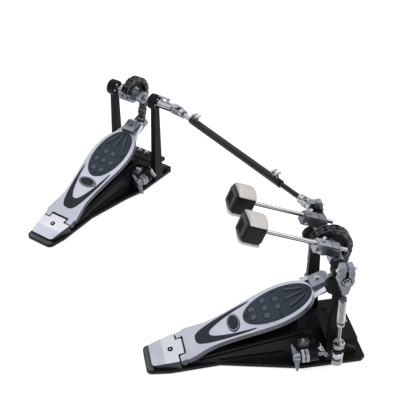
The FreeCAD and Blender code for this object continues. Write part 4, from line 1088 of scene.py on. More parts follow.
    def _heel_trim(self) -> None:
        """Near-black bar in the slits beside the tongue as painted shade, and the tread behind the heel plate.
        """
        x, y = self.heel_edge[2]
        half = x - self.slit_inset
        back, front = (y + step for step in self.slit_span)
        slit = Shapes.prism([(half, back), (half, front), (-half, front), (-half, back)], *self.slit_heights)
        self.fit("hinge_slit_shade", PAINTED_SHADE, (slit, LAYOUT.heel(self.side)))
        foot = self.tread_top - self.tread_thickness
        tread = Shapes.prism(Shapes.mirrored(self.tread), foot, self.tread_top, self.tread_rounding)
        self.fit("heel_tread", TREAD, (tread, LAYOUT.pedal(self.side)))

    def _heel_hardware(self) -> None:
        """Hinge pin in a dark copy of the polished metal as painted shade, and the heel plate's dark round
        screw with a bright disc in its head where its socket is, as a painted highlight.
        """
        pin = Shapes.rod(self.pin_radius, self.pin_half, self.pin_chamfer, self.pin_faces)
        piece = self.fit("heel_pin", SHADED_METAL, (pin, LAYOUT.pin(self.side)))
        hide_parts(f"{self.name}_heel_hardware")
        head = LAYOUT.heel(self.side) @ shift(0, -self.heel_screw_back, 0)
        self.fit("heel_screw", CASTING, (Shapes.lathe(self.heel_screw, self.heel_screw_faces), head))
        self.fit("heel_highlight", PLATED, (Shapes.lathe(self.heel_highlight, self.heel_highlight_faces), head))

    def _clamp(self) -> Matrix:
        """Frame of the hoop clamp, moved in where the base is narrower."""
        return LAYOUT.pedal(self.side) @ shift(-LAYOUT.trim(self.side), 0, 0)

    def _wing_screw(self) -> None:
        """Clamp screw with a waisted hub and two leaning wings that taper, in a bright bush."""
        stand = self._clamp() @ shift(*self.screw_place) @ turned("Y", -self.wing_tilt)
        along = stand @ turned("X", 90)
        half = self.wing_thickness / 2
        blade = Shapes.prism(Shapes.smooth(Shapes.mirrored(self.wing_half)), -half, half, self.wing_rounding)
        # Its outline stands along Z and Y, and its thickness lies along X
        across = Matrix(((0, 0, 1, 0), (0, 1, 0, 0), (1, 0, 0, 0), (0, 0, 0, 1)))
        leaning = stand @ turned("X", self.wing_lean) @ across
        hub = Shapes.lathe(self.wing_hub, self.wing_hub_faces)
        screw_body = f"{self.name}_clamp_screw"
        # The wing screw takes the darker copy of the satin casting: painted shade
        piece = self.fit("wing_screw", SHADED_SATIN, (hub, along), (blade, leaning), body=screw_body)
        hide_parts(f"{self.name}_clamp_screw")
        bush = Shapes.ring(self.bush, self.bush_faces)
        self.fit("clamp_bush", SATIN, (bush, along @ turned("Z", self.bush_turn)))

    def _bolts(self) -> None:
        """Clamp bracket's block with its key bolt, the bolt at the right tower's foot and the jaw's studs."""
        pedal, clamp = LAYOUT.pedal(self.side), self._clamp()
        block = Shapes.prism(self.clamp_block, *self.clamp_block_heights, self.clamp_block_rounding)
        self.fit("clamp_block", SATIN, (block, clamp))
        self.bolts("clamp_bolts", self.clamp_bolt, [clamp @ shift(*self.clamp_bolt_place)], PLATED)
        x, y, z = self.foot_bolt_place
        foot = pedal @ shift(x - LAYOUT.trim(self.side) / 2, y, z) @ turned("X", self.foot_bolt_lean)
        self.bolts("foot_bolt", self.foot_bolt, [foot], PLATED)
        # A near-black dome in the bolt's head stands in for the shade in its socket: painted shade
        self.domes("foot_socket", self.foot_socket, [foot @ shift(0, 0, self.foot_socket_rise)], PAINTED_SHADE)
        spots = [pedal @ shift(x, y, self.jaw_stud_foot) for x, y in self.jaw_stud_places]
        self.bolts("jaw_studs", self.jaw_stud, spots, PLATED, f"{self.name}_clamp_jaw")

    def _grooves(self) -> None:
        """Near-black sheets at the floors of the two long grooves in each flank: painted shade."""
        back, front = self.flank_ends
        back_half, front_half = self.flank_halves
        slope = (front_half - LAYOUT.trim(self.side) - back_half) / (back - front)
        shapes = []
        for sign in (1, -1):
            for line in self.groove_lines:
                rings = []
                for y, low in (line[:2], line[2:]):
                    high = low + self.groove_width
                    x = sign * (back_half + slope * (y + back) - self.groove_floor)
                    deep = x - sign * self.groove_backing
                    rings.append([(deep, y, low), (x, y, low), (x, y, high), (deep, y, high)])
                shapes.append((Shapes.loft(rings), LAYOUT.pedal(self.side)))
        self.fit("groove_shade", PAINTED_SHADE, *shapes)


@dataclass
class Footboard(PedalPart):
    """Footboard with its grip pad, inlay, blank oval plate and toe clamp."""

    body_label = "board"
    board_rounding: float = 1.6
    clamp_rounding: float = 1.2
    edge_faces: int = 3
    pad_centre: float = 171.0
    pad_half_length: float = 60.0
    pad_half_width: float = 35.0
    pad_thickness: float = 1.5
    pad_crown: float = 1.1
    pad_sink: float = 0.4
    pad_points: int = 96
    crown_shares: tuple[float, ...] = (0.15, 0.3, 0.45, 0.6, 0.72, 0.82, 0.89, 0.93)
    rim: Outline = ((0.945, 1.05), (0.955, 1.0), (0.965, 1.25), (0.975, 1.5), (0.988, 1.35), (0.998, 0.8),
                    (1.0, 0.2))
    bump: Pair = (5.7, 2.4)
    bump_shade: Pair = (7.0, 0.55)
    bump_sink: float = 0.2
    bump_places: Outline = ((-9.4, -42.5), (9.4, -42.5), (-18.4, -21.0), (0.0, -21.0), (18.4, -21.0),
                            (-9.2, 0.0), (9.2, 0.0))
    ridge: Point = (30.0, 3.0, 2.7)
    ridge_shade: Point = (32.0, 5.0, 1.0)
    ridge_sink: float = 0.4
    ridge_lines: tuple[Line, ...] = ((-20.5, 18.5, -9.0, 44.5), (0.0, 13.0, 0.0, 46.0),
                                     (20.5, 18.5, 9.0, 44.5))
    screw: BoltSize = BoltSize(6, 1.9, 0.5, 3.0, 0.6)
    screw_sink: float = 0.3
    screw_places: Outline = ((0.0, -53.0), (0.0, 52.5), (-28.0, 0.5), (28.0, 0.5))
    inlay_outer: Outline = ((0.0, 26.5), (8.0, 27.0), (14.0, 32.5), (19.5, 46.0), (24.6, 66.0), (29.6, 94.0),
                            (32.0, 112.0), (33.0, 128.0))
    inlay_inner: Outline = ((31.4, 127.0), (28.4, 112.0), (23.5, 92.0), (16.5, 71.0), (9.5, 57.0), (4.5, 52.0),
                            (0.0, 51.0))
    inlay_heights: Pair = (-0.3, 0.7)
    badge_centre: float = 94.0
    badge_half: Pair = (20.5, 10.8)
    badge_edge: Outline = ((1.0, -0.3), (1.0, 0.9), (0.97, 1.2))
    badge_points: int = 48
    badge_line: Outline = ((0.90, 1.0), (0.895, 1.4), (0.84, 1.4), (0.835, 1.0))
    badge_line_points: int = 64
    neck_plan: Outline = ((14.2, 219.0), (27.0, 219.0), (24.0, 228.0), (19.5, 240.0), (17.0, 252.0),
                          (16.0, 260.0), (14.2, 260.0))
    neck_heights: Pair = (-9.5, -0.2)
    neck_rounding: float = 1.2
    toe_bolt: BoltSize = BoltSize(6, 3.2, 2.6, 4.6, 0.8)
    toe_bolt_place: Pair = (246.0, 6.8)

    def build(self) -> None:
        """Make and dress all pieces of the footboard."""
        up = LAYOUT.board(self.side).to_3x3() @ Vector((0, 0, 1))
        # The board's side faces take a dark copy of its polish: painted shade
        self.round_off("footboard", self.board_rounding, POLISHED, segments=self.edge_faces, flank=SHADED_METAL,
                       up=up)
        # The main pedal's toe clamp takes the darker copy of the satin casting: painted shade
        clamp_finish = SHADED_SATIN if self.side is Side.MAIN else SATIN
        self.round_off("toe_clamp", self.clamp_rounding, clamp_finish, segments=self.edge_faces)
        self._toe_neck()
        self._grip_pad()
        self._grip_relief()
        self._inlays()

    def _toe_neck(self) -> None:
        """Shoulders that narrow from the board's nose to the toe clamp, and the clamp's key bolt."""
        board = LAYOUT.board(self.side) @ shift(LAYOUT.chain_plane(self.side), 0, 0)
        plans = [[(sign * x, y) for x, y in self.neck_plan] for sign in (1, -1)]
        shapes = [(Shapes.prism(plan, *self.neck_heights, self.neck_rounding), board) for plan in plans]
        self.fit("toe_neck", POLISHED, *shapes)
        self.bolts("toe_bolts", self.toe_bolt, [board @ shift(0, *self.toe_bolt_place)], PLATED)

    def _pad_ring(self, share: float, height: float) -> list[Point]:
        """One ring of the pad at a share of its half sizes."""
        return Shapes.oval(self.pad_half_width * share, self.pad_half_length * share, height, self.pad_points,
                           self.pad_centre)

    def _pad_height(self, across: float, along: float) -> float:
        """Height of the pad's crowned face over the board."""
        share = (across / self.pad_half_width) ** 2 + (along / self.pad_half_length) ** 2
        return self.pad_thickness + self.pad_crown * (1.0 - share)

    def _on_pad(self, across: float, along: float, height: float) -> Matrix:
        """Frame over the pad's centre, at a height over the board."""
        return LAYOUT.board(self.side) @ shift(across, self.pad_centre + along, height)

    def _grip_pad(self) -> None:
        """Crowned oval pad with a raised rim."""
        rings: list[Any] = [[(0, self.pad_centre, self.pad_thickness + self.pad_crown)]]
        rings += [self._pad_ring(share, self.pad_thickness + self.pad_crown * (1 - share * share))
                  for share in self.crown_shares]
        rings += [self._pad_ring(share, height) for share, height in (*self.rim, (1.0, -self.pad_sink))]
        rings.append([(0, self.pad_centre, -self.pad_sink)])
        piece = self.fit("grip_pad_finished", GRIP, (Shapes.loft(rings), LAYOUT.board(self.side)))
        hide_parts(f"{self.name}_grip_pad")

    def _grip_relief(self) -> None:
        """Round bumps and fanned ridges in a lighter copy of the grip rubber as painted light, over near-black
        rubber as painted shade, and small screws on the pad.
        """
        bumps = [self._on_pad(x, y, self._pad_height(x, y) - self.bump_sink) for x, y in self.bump_places]
        # Near-black low domes under the bumps: painted shade
        self.domes("grip_bump_rings", self.bump_shade, bumps, GRIP_SHADE)
        self.domes("grip_bumps", self.bump, bumps, LIT_GRIP)
        ridges = []
        for x, y, u, v in self.ridge_lines:
            height = min(self._pad_height(x, y), self._pad_height(u, v)) - self.ridge_sink
            way = math.degrees(math.atan2(v - y, u - x))
            ridges.append(self._on_pad((x + u) / 2, (y + v) / 2, height) @ turned("Z", way))
        # Near-black wider bars under the ridges: painted shade
        for label, size, finish in (("grip_ridge_feet", self.ridge_shade, GRIP_SHADE),
                                    ("grip_ridges", self.ridge, LIT_GRIP)):
            sizes = dict(zip(("Length", "Width", "Height"), size))
            self.repeat(label, GeometryTrees.ridges(), sizes, ridges, finish)
        screws = [self._on_pad(x, y, self._pad_height(x, y) - self.screw_sink) for x, y in self.screw_places]
        self.bolts("grip_screws", self.screw, screws, INLAY)

    def _inlays(self) -> None:
        """V-shaped inlay with thin horns, and a plain oval plate between its arms."""
        board = LAYOUT.board(self.side)
        outline = Shapes.smooth(Shapes.mirrored([*self.inlay_outer, *self.inlay_inner]))
        chevron = Shapes.prism(outline, *self.inlay_heights)
        piece = self.fit("inlay_chevron", INLAY, (chevron, board))
        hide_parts(f"{self.name}_inlays")
        half_x, half_y = self.badge_half
        rings = [Shapes.oval(half_x * share, half_y * share, height, self.badge_points, self.badge_centre)
                 for share, height in self.badge_edge]
        plate = Shapes.loft([*rings, [(0, self.badge_centre, self.badge_edge[-1][1])]])
        self.fit("oval_plate", INLAY, (plate, board))
        line = Shapes.ring(self.badge_line, self.badge_line_points)
        stretch = Matrix.Diagonal((half_x, half_y, 1.0, 1.0))
        line.transform(Matrix.Translation((0, self.badge_centre, 0)) @ stretch)
        self.fit("oval_line", POLISHED, (line, board))


@dataclass
class ChainDrive(PedalPart):
    """Cam, axle and the double chain that runs from the cam to the toe clamp."""

    body_label = "rotor"
    cam_rounding: float = 0.8
    axle_rounding: float = 0.6
    radius: float = 33.0
    half_width: float = 8.0
    toe_reach: float = 274.0
    toe_drop: float = 12.0
    run_links: int = 7
    end_angle: float = 150.0
    bend_lead: float = 82.0
    plate_height: float = 7.4
    plate_thickness: float = 1.3
    outer_rows: tuple[float, ...] = (-1.0, -0.081, 0.8375)
    outer_roller: float = 2.6
    inner_rows: tuple[float, ...] = (-0.8375, -0.325, 0.1625, 0.675)
    inner_roller: float = 2.2
    hub_radii: Pair = (5.3, 11.2)
    hub_spans: Outline = ((-13.1, -4.2), (4.2, 13.1))
    hub_turn: float = -25.0
    hub_block: Outline = ((-21.0, -14.0), (-5.0, -17.0), (3.0, -13.0), (3.0, 13.0), (-8.0, 18.0),
                          (-20.0, 11.0))
    hub_block_span: Pair = (-19.0, 6.0)
    hub_block_rounding: float = 1.5
    hole: Pair = (2.2, 0.5)
    hole_centre: Point = (-3.0, -20.8, -1.0)
    hole_places: Outline = ((-10.0, 5.0), (-10.0, -6.0), (-3.0, 0.0), (4.0, 5.0), (4.0, -6.0))

    def build(self) -> None:
        """Make and dress the cam and the chain."""
        self.round_off("cam", self.cam_rounding, CASTING)
        self.round_off("axle", self.axle_rounding, SATIN)
        stand = LAYOUT.axle(self.side) @ shift(LAYOUT.chain_plane(self.side), 0, 0)
        self._hub(stand)
        self._chain(stand)

    def _hub(self, stand: Matrix) -> None:
        """Bright rings on the cam's hub, and a block behind it with five near-black dots that paint the shade
        of its holes.
        """
        inner, outer = self.hub_radii
        shapes = []
        for low, high in self.hub_spans:
            ring = Shapes.ring([(inner, low), (outer, low), (outer, high), (inner, high)])
            shapes.append((ring, stand @ turned("Y", 90)))
        turned_up = stand @ turned("X", self.hub_turn)
        # The block's outline lies along Y and Z, and its thickness along X
        upright = turned_up @ Matrix(((0, 0, 1, 0), (1, 0, 0, 0), (0, 1, 0, 0), (0, 0, 0, 1)))
        block = Shapes.prism(self.hub_block, *self.hub_block_span, self.hub_block_rounding)
        self.fit("cam_hub_faces", SATIN, *shapes, (block, upright))
        rear = turned_up @ shift(*self.hole_centre) @ turned("X", 90)
        holes = [rear @ shift(x, z, 0) for x, z in self.hole_places]
        self.domes("cam_hub_holes", self.hole, holes, PAINTED_SHADE)

    def _chain(self, stand: Matrix) -> None:
        """Outer and inner links, laid from the toe clamp along the strand and over the cam."""
        pins = self._pins()
        links: list[Matrix] = []
        for first, last in zip(pins, pins[1:]):
            middle, way = (first + last) / 2, last - first
            turn = Matrix.Rotation(math.atan2(way.y, way.x), 4, "X")
            links.append(stand @ shift(0, middle.x, middle.y) @ turn)
        sizes = {"Pitch": (pins[1] - pins[0]).length, "Plate height": self.plate_height,
                 "Plate thickness": self.plate_thickness, "Half width": self.half_width}
        for label, rows, roller, chosen in (("outer", self.outer_rows, self.outer_roller, links[::2]),
                                            ("inner", self.inner_rows, self.inner_roller, links[1::2])):
            piece = GeometryTrees.scatter(f"{self.name}_chain_{label}_links", GeometryTrees.links(rows),
                                          {**sizes, "Roller radius": roller}, chosen, CHAIN, None)
            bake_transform(piece)
            if label == "outer":
                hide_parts(f"{self.name}_chain_run", f"{self.name}_chain_wrap")

    def _toe(self) -> Vector:
        """Place of the chain's last pin across the axle, in millimetres."""
        tilt = math.radians(LAYOUT.board_angle)
        drop = self.toe_drop - LAYOUT.board_rise
        return Vector((self.toe_reach * math.cos(tilt) + drop * math.sin(tilt) - LAYOUT.hinge_back,
                       self.toe_reach * math.sin(tilt) - drop * math.cos(tilt) + LAYOUT.hinge_height
                       - LAYOUT.axle_height))

    def _leave(self) -> float:
        """Angle at which the chain leaves the cam."""
        toe = self._toe()
        return math.atan2(toe.y, toe.x) + math.acos(self.radius / toe.length)

    def _on_cam(self, angle: float) -> Vector:
        """Point of the chain on the cam, in millimetres across the axle."""
        return Vector((math.cos(angle), math.sin(angle))) * self.radius

    def _pins(self) -> list[Vector]:
        """Chain pins from the toe clamp up and over the cam, in millimetres across the axle."""
        toe = self._toe()
        leave = self._leave()
        run = self._on_cam(leave) - toe
        pins = [toe + run * (number / self.run_links) for number in range(self.run_links + 1)]
        step = 2 * math.asin(run.length / self.run_links / (2 * self.radius))
        angle = leave + step
        while angle < math.radians(self.end_angle):
            pins.append(self._on_cam(angle))
            angle += step
        return pins


@dataclass
class Beater(Assembly):
    """One beater: holder, rod and the square felt head with its end cap."""

    name: str
    place: float
    rotor: str
    finish: Finish
    rod_offset: float = 18.3
    rod_rounding: float = 0.8
    head_low: float = 133.0
    head_high: float = 166.0
    half_width: float = 20.0
    core_half_depth: float = 16.6
    core_corner: float = 6.0
    core_corner_faces: int = 6
    core_fullness: float = 0.04
    core_low_shares: Outline = ((0.52, -0.5), (0.72, 0.3), (0.87, 2.2), (0.96, 5.5), (1.0, 10.0))
    core_high_shares: Outline = ((1.0, -1.5), (0.985, 0.0))
    felt_edge: float = 17.6
    felt_half_depth: float = 23.2
    felt_overhang: float = 0.35
    felt_lap: float = 1.0
    felt_lip: float = 0.6
    felt_lip_share: float = 0.1
    lower_felt: float = 1.6
    felt_low_shares: Outline = ((0.80, 2.6), (0.93, 3.4), (1.0, 6.0), (1.01, 14.0))
    felt_high_shares: Outline = ((1.012, -12.0), (1.0, -2.5), (0.95, -0.8))
    felt_across_shares: tuple[float, ...] = (1.0, 0.97, 0.9, 0.75, 0.5, 0.25)
    cap_half: Pair = (15.6, 15.2)
    cap_rings: tuple[Point, ...] = ((0.0, 3.5, -1.0), (0.0, 3.5, 2.8), (1.2, 3.0, 4.0), (5.0, 2.0, 4.0),
                                    (5.6, 1.8, 3.5), (6.0, 1.6, 1.6))
    panel_rings: tuple[Point, ...] = ((6.2, 1.6, 1.2), (6.2, 1.6, 2.0))
    cap_corner_faces: int = 4
    hub: Outline = ((5.1, -9.0), (10.4, -9.0), (11.5, -8.0), (11.5, -3.0), (10.6, -2.2), (10.6, 2.2),
                    (11.5, 3.0), (11.5, 8.0), (10.4, 9.0), (5.1, 9.0))
    blocks: tuple[Point, ...] = ((1.0, 17.0, 9.0), (17.9, 32.0, 8.6), (32.9, 43.0, 9.0))
    block_half_depth: float = 7.5
    block_corner: float = 1.5
    block_corner_faces: int = 3
    block_rounding: float = 0.8
    block_back: float = 6.0
    seam_half: Pair = (8.0, 7.0)
    seam_corner: float = 1.0
    seam_back: float = 6.2
    seam_end: float = 1.0
    rod_caps: Outline = ((3.0, 17.0), (18.2, 41.0))
    cap_arch: Outline = ((-8.4, -1.0), (-8.4, 3.6), (-5.6, 6.2), (5.6, 6.2), (8.4, 3.6), (8.4, -1.0),
                         (4.1, -1.0), (4.1, 1.4), (2.6, 3.3), (0.0, 4.1), (-2.6, 3.3), (-4.1, 1.4),
                         (-4.1, -1.0))
    bolt: BoltSize = BoltSize(4, 3.2, 5.5, 3.9, 1.2)
    top_bolt_place: Point = (0.0, 6.2, 33.0)
    side_bolt_place: Point = (8.9, -7.0, 38.0)

    @property
    def body(self) -> str:
        """Body that slides in the holder."""
        return f"{self.name}_beater"

    def build(self) -> None:
        """Make and dress all pieces of the beater."""
        self.round_off("beater_rod", self.rod_rounding, RODS)
        stand = LAYOUT.beater() @ shift(self.place, self.rod_offset, 0)
        self._holder(stand)
        self._core(stand)
        self._felt(stand)
        self._cap(stand)
        spots = [stand @ shift(*self.top_bolt_place) @ turned("X", -90),
                 stand @ shift(*self.side_bolt_place) @ turned("Y", 90)]
        self.bolts("holder_bolts", self.bolt, spots, PLATED, self.rotor)

    @staticmethod
    def _section(half_x: float, half_y: float, corner: float, steps: int) -> list[Pair]:
        """A rectangle with round corners."""
        points = []
        for turn, (sign_x, sign_y) in enumerate(((1, 1), (-1, 1), (-1, -1), (1, -1))):
            for k in range(steps + 1):
                angle = QUARTER * (turn + k / steps)
                points.append((sign_x * (half_x - corner) + corner * math.cos(angle),
                               sign_y * (half_y - corner) + corner * math.sin(angle)))
        return points

    def _levels(self, low_shares: Outline, high_shares: Outline) -> list[Pair]:
        """Shares of the head's width with their heights, given from its lower and its upper end."""
        return [*((share, self.head_low + rise) for share, rise in low_shares),
                *((share, self.head_high + rise) for share, rise in high_shares)]

    def _core(self, stand: Matrix) -> None:
        """Black block between the felts, rounded towards the rod."""
        rings = []
        for share, height in self._levels(self.core_low_shares, self.core_high_shares):
            half_depth = self.core_half_depth * min(1.0, share + self.core_fullness)
            section = self._section(self.half_width * share, half_depth, self.core_corner,
                                    self.core_corner_faces)
            rings.append([(x, y, height) for x, y in section])
        piece = self.fit("beater_core_finished", CORE, (Shapes.loft(rings), stand))
        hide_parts(f"{self.name}_beater_core")

    def _felt(self, stand: Matrix) -> None:
        """Two crowned felt faces that wrap over the block."""
        shapes = []
        for sign, edge in ((1, self.felt_edge), (-1, self.felt_edge + self.lower_felt)):
            rings = []
            for share, height in self._levels(self.felt_low_shares, self.felt_high_shares):
                wide = (self.half_width + self.felt_overhang) * share
                crown = (self.felt_half_depth - self.felt_edge) * min(1.0, share)
                half = [(wide, self.core_half_depth - self.felt_lap)]
                for across in self.felt_across_shares:
                    lip = self.felt_lip * (min(1.0, (1 - across) / self.felt_lip_share) - 1)
                    half.append((wide * across, edge + crown * (1 - across * across) + lip))
                half.append((0.0, edge + crown))
                rings.append([(x, sign * y, height) for x, y in Shapes.mirrored(half)])
            shapes.append((Shapes.loft(rings), stand))
        piece = self.fit("beater_felt_finished", FELT, *shapes)
        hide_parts(f"{self.name}_beater_felt")

    def _cap(self, stand: Matrix) -> None:
        """Square end cap with a sunk square panel."""
        half_x, half_y = self.cap_half
        # The sunk panel takes the near-black rubber: painted shade
        for label, levels, finish in (("beater_cap", self.cap_rings, CAP),
                                      ("beater_panel", self.panel_rings, GRIP_SHADE)):
            rings = []
            for inset, corner, rise in levels:
                section = self._section(half_x - inset, half_y - inset, corner, self.cap_corner_faces)
                rings.append([(x, y, self.head_high + rise) for x, y in section])
            self.fit(label, finish, (Shapes.loft(rings), stand))

    def _holder(self, stand: Matrix) -> None:
        """Holder with a ringed hub, three short blocks under the rod and arched caps over it."""
        on_axle = stand @ shift(0, -self.rod_offset, 0) @ turned("Y", 90)
        shapes = [(Shapes.ring(self.hub), on_axle)]
        for low, high, half in self.blocks:
            section = self._section(half, self.block_half_depth, self.block_corner, self.block_corner_faces)
            plan = [(x, y - self.block_back) for x, y in section]
            shapes.append((Shapes.prism(plan, low, high, self.block_rounding), stand))
        shapes += [(Shapes.prism(self.cap_arch, low, high), stand) for low, high in self.rod_caps]
        piece = self.fit("beater_holder_finished", self.finish, *shapes, body=self.rotor)
        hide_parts(f"{self.name}_beater_holder")
        section = self._section(*self.seam_half, self.seam_corner, self.block_corner_faces)
        plan = [(x, y - self.seam_back) for x, y in section]
        seam = Shapes.prism(plan, self.blocks[0][0], self.blocks[-1][1] - self.seam_end)
        self.fit("holder_seams", CORE, (seam, stand), body=self.rotor)


@dataclass
class SpringSet(Assembly):
    """Spring lever, tension spring, threaded rod and the two adjusting nuts."""

    name: str
    place: float
    body: str
    outward: int
    spring_low: float = 103.0
    spring_high: float = 153.0
    coil_radius: float = 5.6
    coil_end_share: float = 0.35
    wire: float = 0.9
    wire_faces: int = 8
    turns: int = 26
    turn_steps: int = 20
    curl_turns: float = 0.25
    lead: float = 3.0
    end_overlap: float = 1.0
    upright_limit: float = 0.05
    eye: Outline = ((0.0, 151.5), (4.6, 151.5), (5.4, 152.2), (5.4, 154.6), (3.0, 156.5), (2.4, 160.0))
    eye_faces: int = 28
    eye_pin_radius: float = 4.5
    eye_pin_half: float = 3.2
    eye_pin_chamfer: float = 0.5
    thread_low: float = 16.0
    thread_high: float = 98.0
    thread_radius: float = 2.6
    thread_depth: float = 0.35
    thread_pitch: float = 1.6
    thread_tip: Pair = (2.0, 0.6)
    thread_faces: int = 24
    seat: Outline = ((2.4, 0.0), (5.6, 0.0), (6.5, 0.9), (6.5, 4.2), (5.8, 5.0), (0.0, 5.0))
    nut_play: float = 0.06
    upper_nut: Outline = ((4.4, 50.0), (7.4, 51.0), (7.4, 53.6), (9.2, 54.4), (9.8, 55.2), (10.0, 62.4),
                          (9.4, 63.4), (8.2, 63.6), (7.6, 63.0), (7.2, 60.6))
    lower_nut: Outline = ((8.2, 19.8), (9.4, 20.8), (9.4, 29.0), (6.8, 29.8), (6.8, 34.6), (9.6, 35.6),
                          (9.6, 43.0), (9.2, 43.8), (4.2, 46.8))
    lever_rounding: float = 1.2
    lever_half: float = 6.5
    lever_tip: float = 20.0
    clamp_bolt: BoltSize = BoltSize(4, 3.2, 3.0, 4.2, 1.2)
    clamp_bolt_height: float = 19.0
    clamp_bolt_reach: float = 11.2
    lever_ring: Outline = ((6.6, -0.5), (6.6, 0.3), (7.0, 0.6), (7.9, 0.6), (8.3, 0.3), (8.3, -0.5))
    lever_disc: Outline = ((3.2, -0.5), (3.2, 0.7), (3.7, 1.3), (5.9, 1.3), (6.4, 0.8), (6.4, -0.5))
    slot_ends: Pair = (-8.4, -18.5)
    slot_half: float = 2.2
    slot_heights: Pair = (-0.4, 0.3)
    end_bolt: BoltSize = BoltSize(6, 2.6, 0.6, 3.3, 0.3)

    def build(self) -> None:
        """Make and dress all pieces of the spring set."""
        stand = shift(self.place, 0, 0)
        axle = shift(self.place, 0, LAYOUT.axle_height)
        # The lever takes the darker copy of the satin casting: painted shade
        self.round_off("spring_lever", self.lever_rounding, SHADED_SATIN)
        self._coil(stand)
        self._eye(stand)
        self._rod(stand)
        self._nuts(stand)
        self._clamp_bolt(axle)
        if self.outward > 0:
            self._lever_face(axle @ shift(self.lever_half, 0, 0) @ turned("Y", 90))

    def _spot(self, turn: float) -> Vector:
        """Middle of the wire after a number of turns."""
        low, high = self.spring_low + self.lead, self.spring_high - self.lead
        ease = min(1.0, min(turn, self.turns - turn) / self.curl_turns)
        radius = self.coil_radius * (self.coil_end_share + (1 - self.coil_end_share) * ease)
        return Vector((radius * math.cos(math.tau * turn), radius * math.sin(math.tau * turn),
                       low + (high - low) * (turn / self.turns)))

    def _coil(self, stand: Matrix) -> None:
        """The spring's wire, stretched between the rod and the lever's eye."""
        steps = self.turns * self.turn_steps
        points = [Vector((0, 0, self.spring_low - self.end_overlap)),
                  *(self._spot(self.turns * k / steps) for k in range(steps + 1)),
                  Vector((0, 0, self.spring_high + self.end_overlap))]
        rings = []
        for k, point in enumerate(points):
            way = (points[min(k + 1, len(points) - 1)] - points[max(k - 1, 0)]).normalized()
            side = way.cross(Vector((0, 0, 1)))
            side = side.normalized() if side.length > self.upright_limit else Vector((1, 0, 0))
            section = Shapes.oval(self.wire, self.wire, 0.0, self.wire_faces)
            rings.append([point + side * x + side.cross(way) * y for x, y, _ in section])
        wire = Shapes.placed(Shapes.loft(rings), stand)
        piece = Workshop.piece(f"{self.name}_spring_coil", wire, [SPRING], None)
        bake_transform(piece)
        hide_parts(f"{self.name}_spring")

    def _eye(self, stand: Matrix) -> None:
        """Dark hook that hangs in the lever's fork, with its cross pin."""
        height = LAYOUT.axle_height - self.lever_tip
        hook = Shapes.lathe([*self.eye, (self.eye[-1][0], height), (0, height)], self.eye_faces)
        pin = Shapes.rod(self.eye_pin_radius, self.eye_pin_half, self.eye_pin_chamfer, self.eye_faces)
        across = stand @ shift(0, 0, height) @ turned("Y", 90)
        self.fit("spring_eye", DARK_SATIN, (hook, stand), (pin, across), body=f"{self.name}_spring_top")

    def _rod(self, stand: Matrix) -> None:
        """Threaded rod with the spring's seat on top."""
        tip_radius, tip_height = self.thread_tip
        profile = [(0, self.thread_low), (tip_radius, self.thread_low)]
        height = self.thread_low + tip_height
        while height < self.thread_high - self.thread_pitch:
            profile += [(self.thread_radius - self.thread_depth, height),
                        (self.thread_radius, height + self.thread_pitch / 2)]
            height += self.thread_pitch
        profile += [(radius, self.thread_high + rise) for radius, rise in self.seat]
        rod = Shapes.lathe(profile, self.thread_faces)
        piece = self.fit("spring_thread", PLATED, (rod, stand), body=f"{self.name}_spring_link")
        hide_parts(f"{self.name}_spring_rod")

    def _nuts(self, stand: Matrix) -> None:
        """Upper drum nut and the longer lower nut, both grooved for the fingers."""
        bore = self.thread_radius + self.nut_play
        profiles = [[(bore, nut[0][1]), *nut, (bore, nut[-1][1])] for nut in (self.upper_nut, self.lower_nut)]
        shapes = [(Shapes.ring(profile), stand) for profile in profiles]
        piece = self.fit("spring_nuts_finished", PLATED, *shapes, body=f"{self.name}_spring_nuts")
        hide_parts(f"{self.name}_spring_nuts")

    def _clamp_bolt(self, axle: Matrix) -> None:
        """Clamp bolt across the lever's split, with a head at both ends."""
        reach, height = self.clamp_bolt_reach, self.clamp_bolt_height
        spots = [axle @ shift(0, -sign * reach, height) @ turned("X", sign * 90) for sign in (1, -1)]
        self.bolts("lever_clamp_bolt", self.clamp_bolt, spots, PLATED)

    def _lever_face(self, face: Matrix) -> None:
        """Dark ring on the lever's outer face, a near-black slot on it as painted shade, and the bolt with its
        disc in the axle's end.
        """
        self.fit("lever_ring", CORE, (Shapes.ring(self.lever_ring), face))
        half, (low, high) = self.slot_half, self.slot_ends
        slot = Shapes.prism([(low, -half), (low, half), (high, half), (high, -half)], *self.slot_heights)
        self.fit("lever_slot_shade", PAINTED_SHADE, (slot, face))
        self.fit("lever_disc", PLATED, (Shapes.ring(self.lever_disc), face))
        self.bolts("lever_end_bolt", self.end_bolt, [face], CORE)


@dataclass
class DriveShaft:
    """Telescopic shaft with its universal joints and lock bolts."""

    roundings: tuple[tuple[str, float, Finish], ...] = (
        ("shaft_tube", 0.8, TUBE), ("shaft_rod", 0.6, PLATED), ("shaft_lock_bolts", 0.5, PLATED),
        ("left_axle", 0.4, PLATED), ("near_axle_yoke", 0.6, PLATED), ("tube_yoke", 0.6, PLATED),
        ("rod_yoke", 0.6, PLATED), ("far_axle_yoke", 0.6, PLATED), ("near_cross", 0.5, SATIN),
        ("far_cross", 0.5, SATIN))
    key_post: Pair = (2.6, 9.0)
    key_bar: Pair = (2.3, 12.0)
    key_places: tuple[float, ...] = (70.0, 84.0)
    key_rise: float = 7.6

    def build(self) -> None:
        """Dress the shaft and add its key bolts."""
        for node, width, finish in self.roundings:
            Workshop.rounded(node, width, finish)
        labels = ("Post radius", "Post height", "Bar radius", "Bar length")
        sizes = dict(zip(labels, (*self.key_post, *self.key_bar)))
        spots = [LAYOUT.axle(Side.REMOTE) @ shift(x, 0, self.key_rise) for x in self.key_places]
        GeometryTrees.scatter("far_yoke_bolts", GeometryTrees.keys(), sizes, spots, PLATED, "remote_rotor")


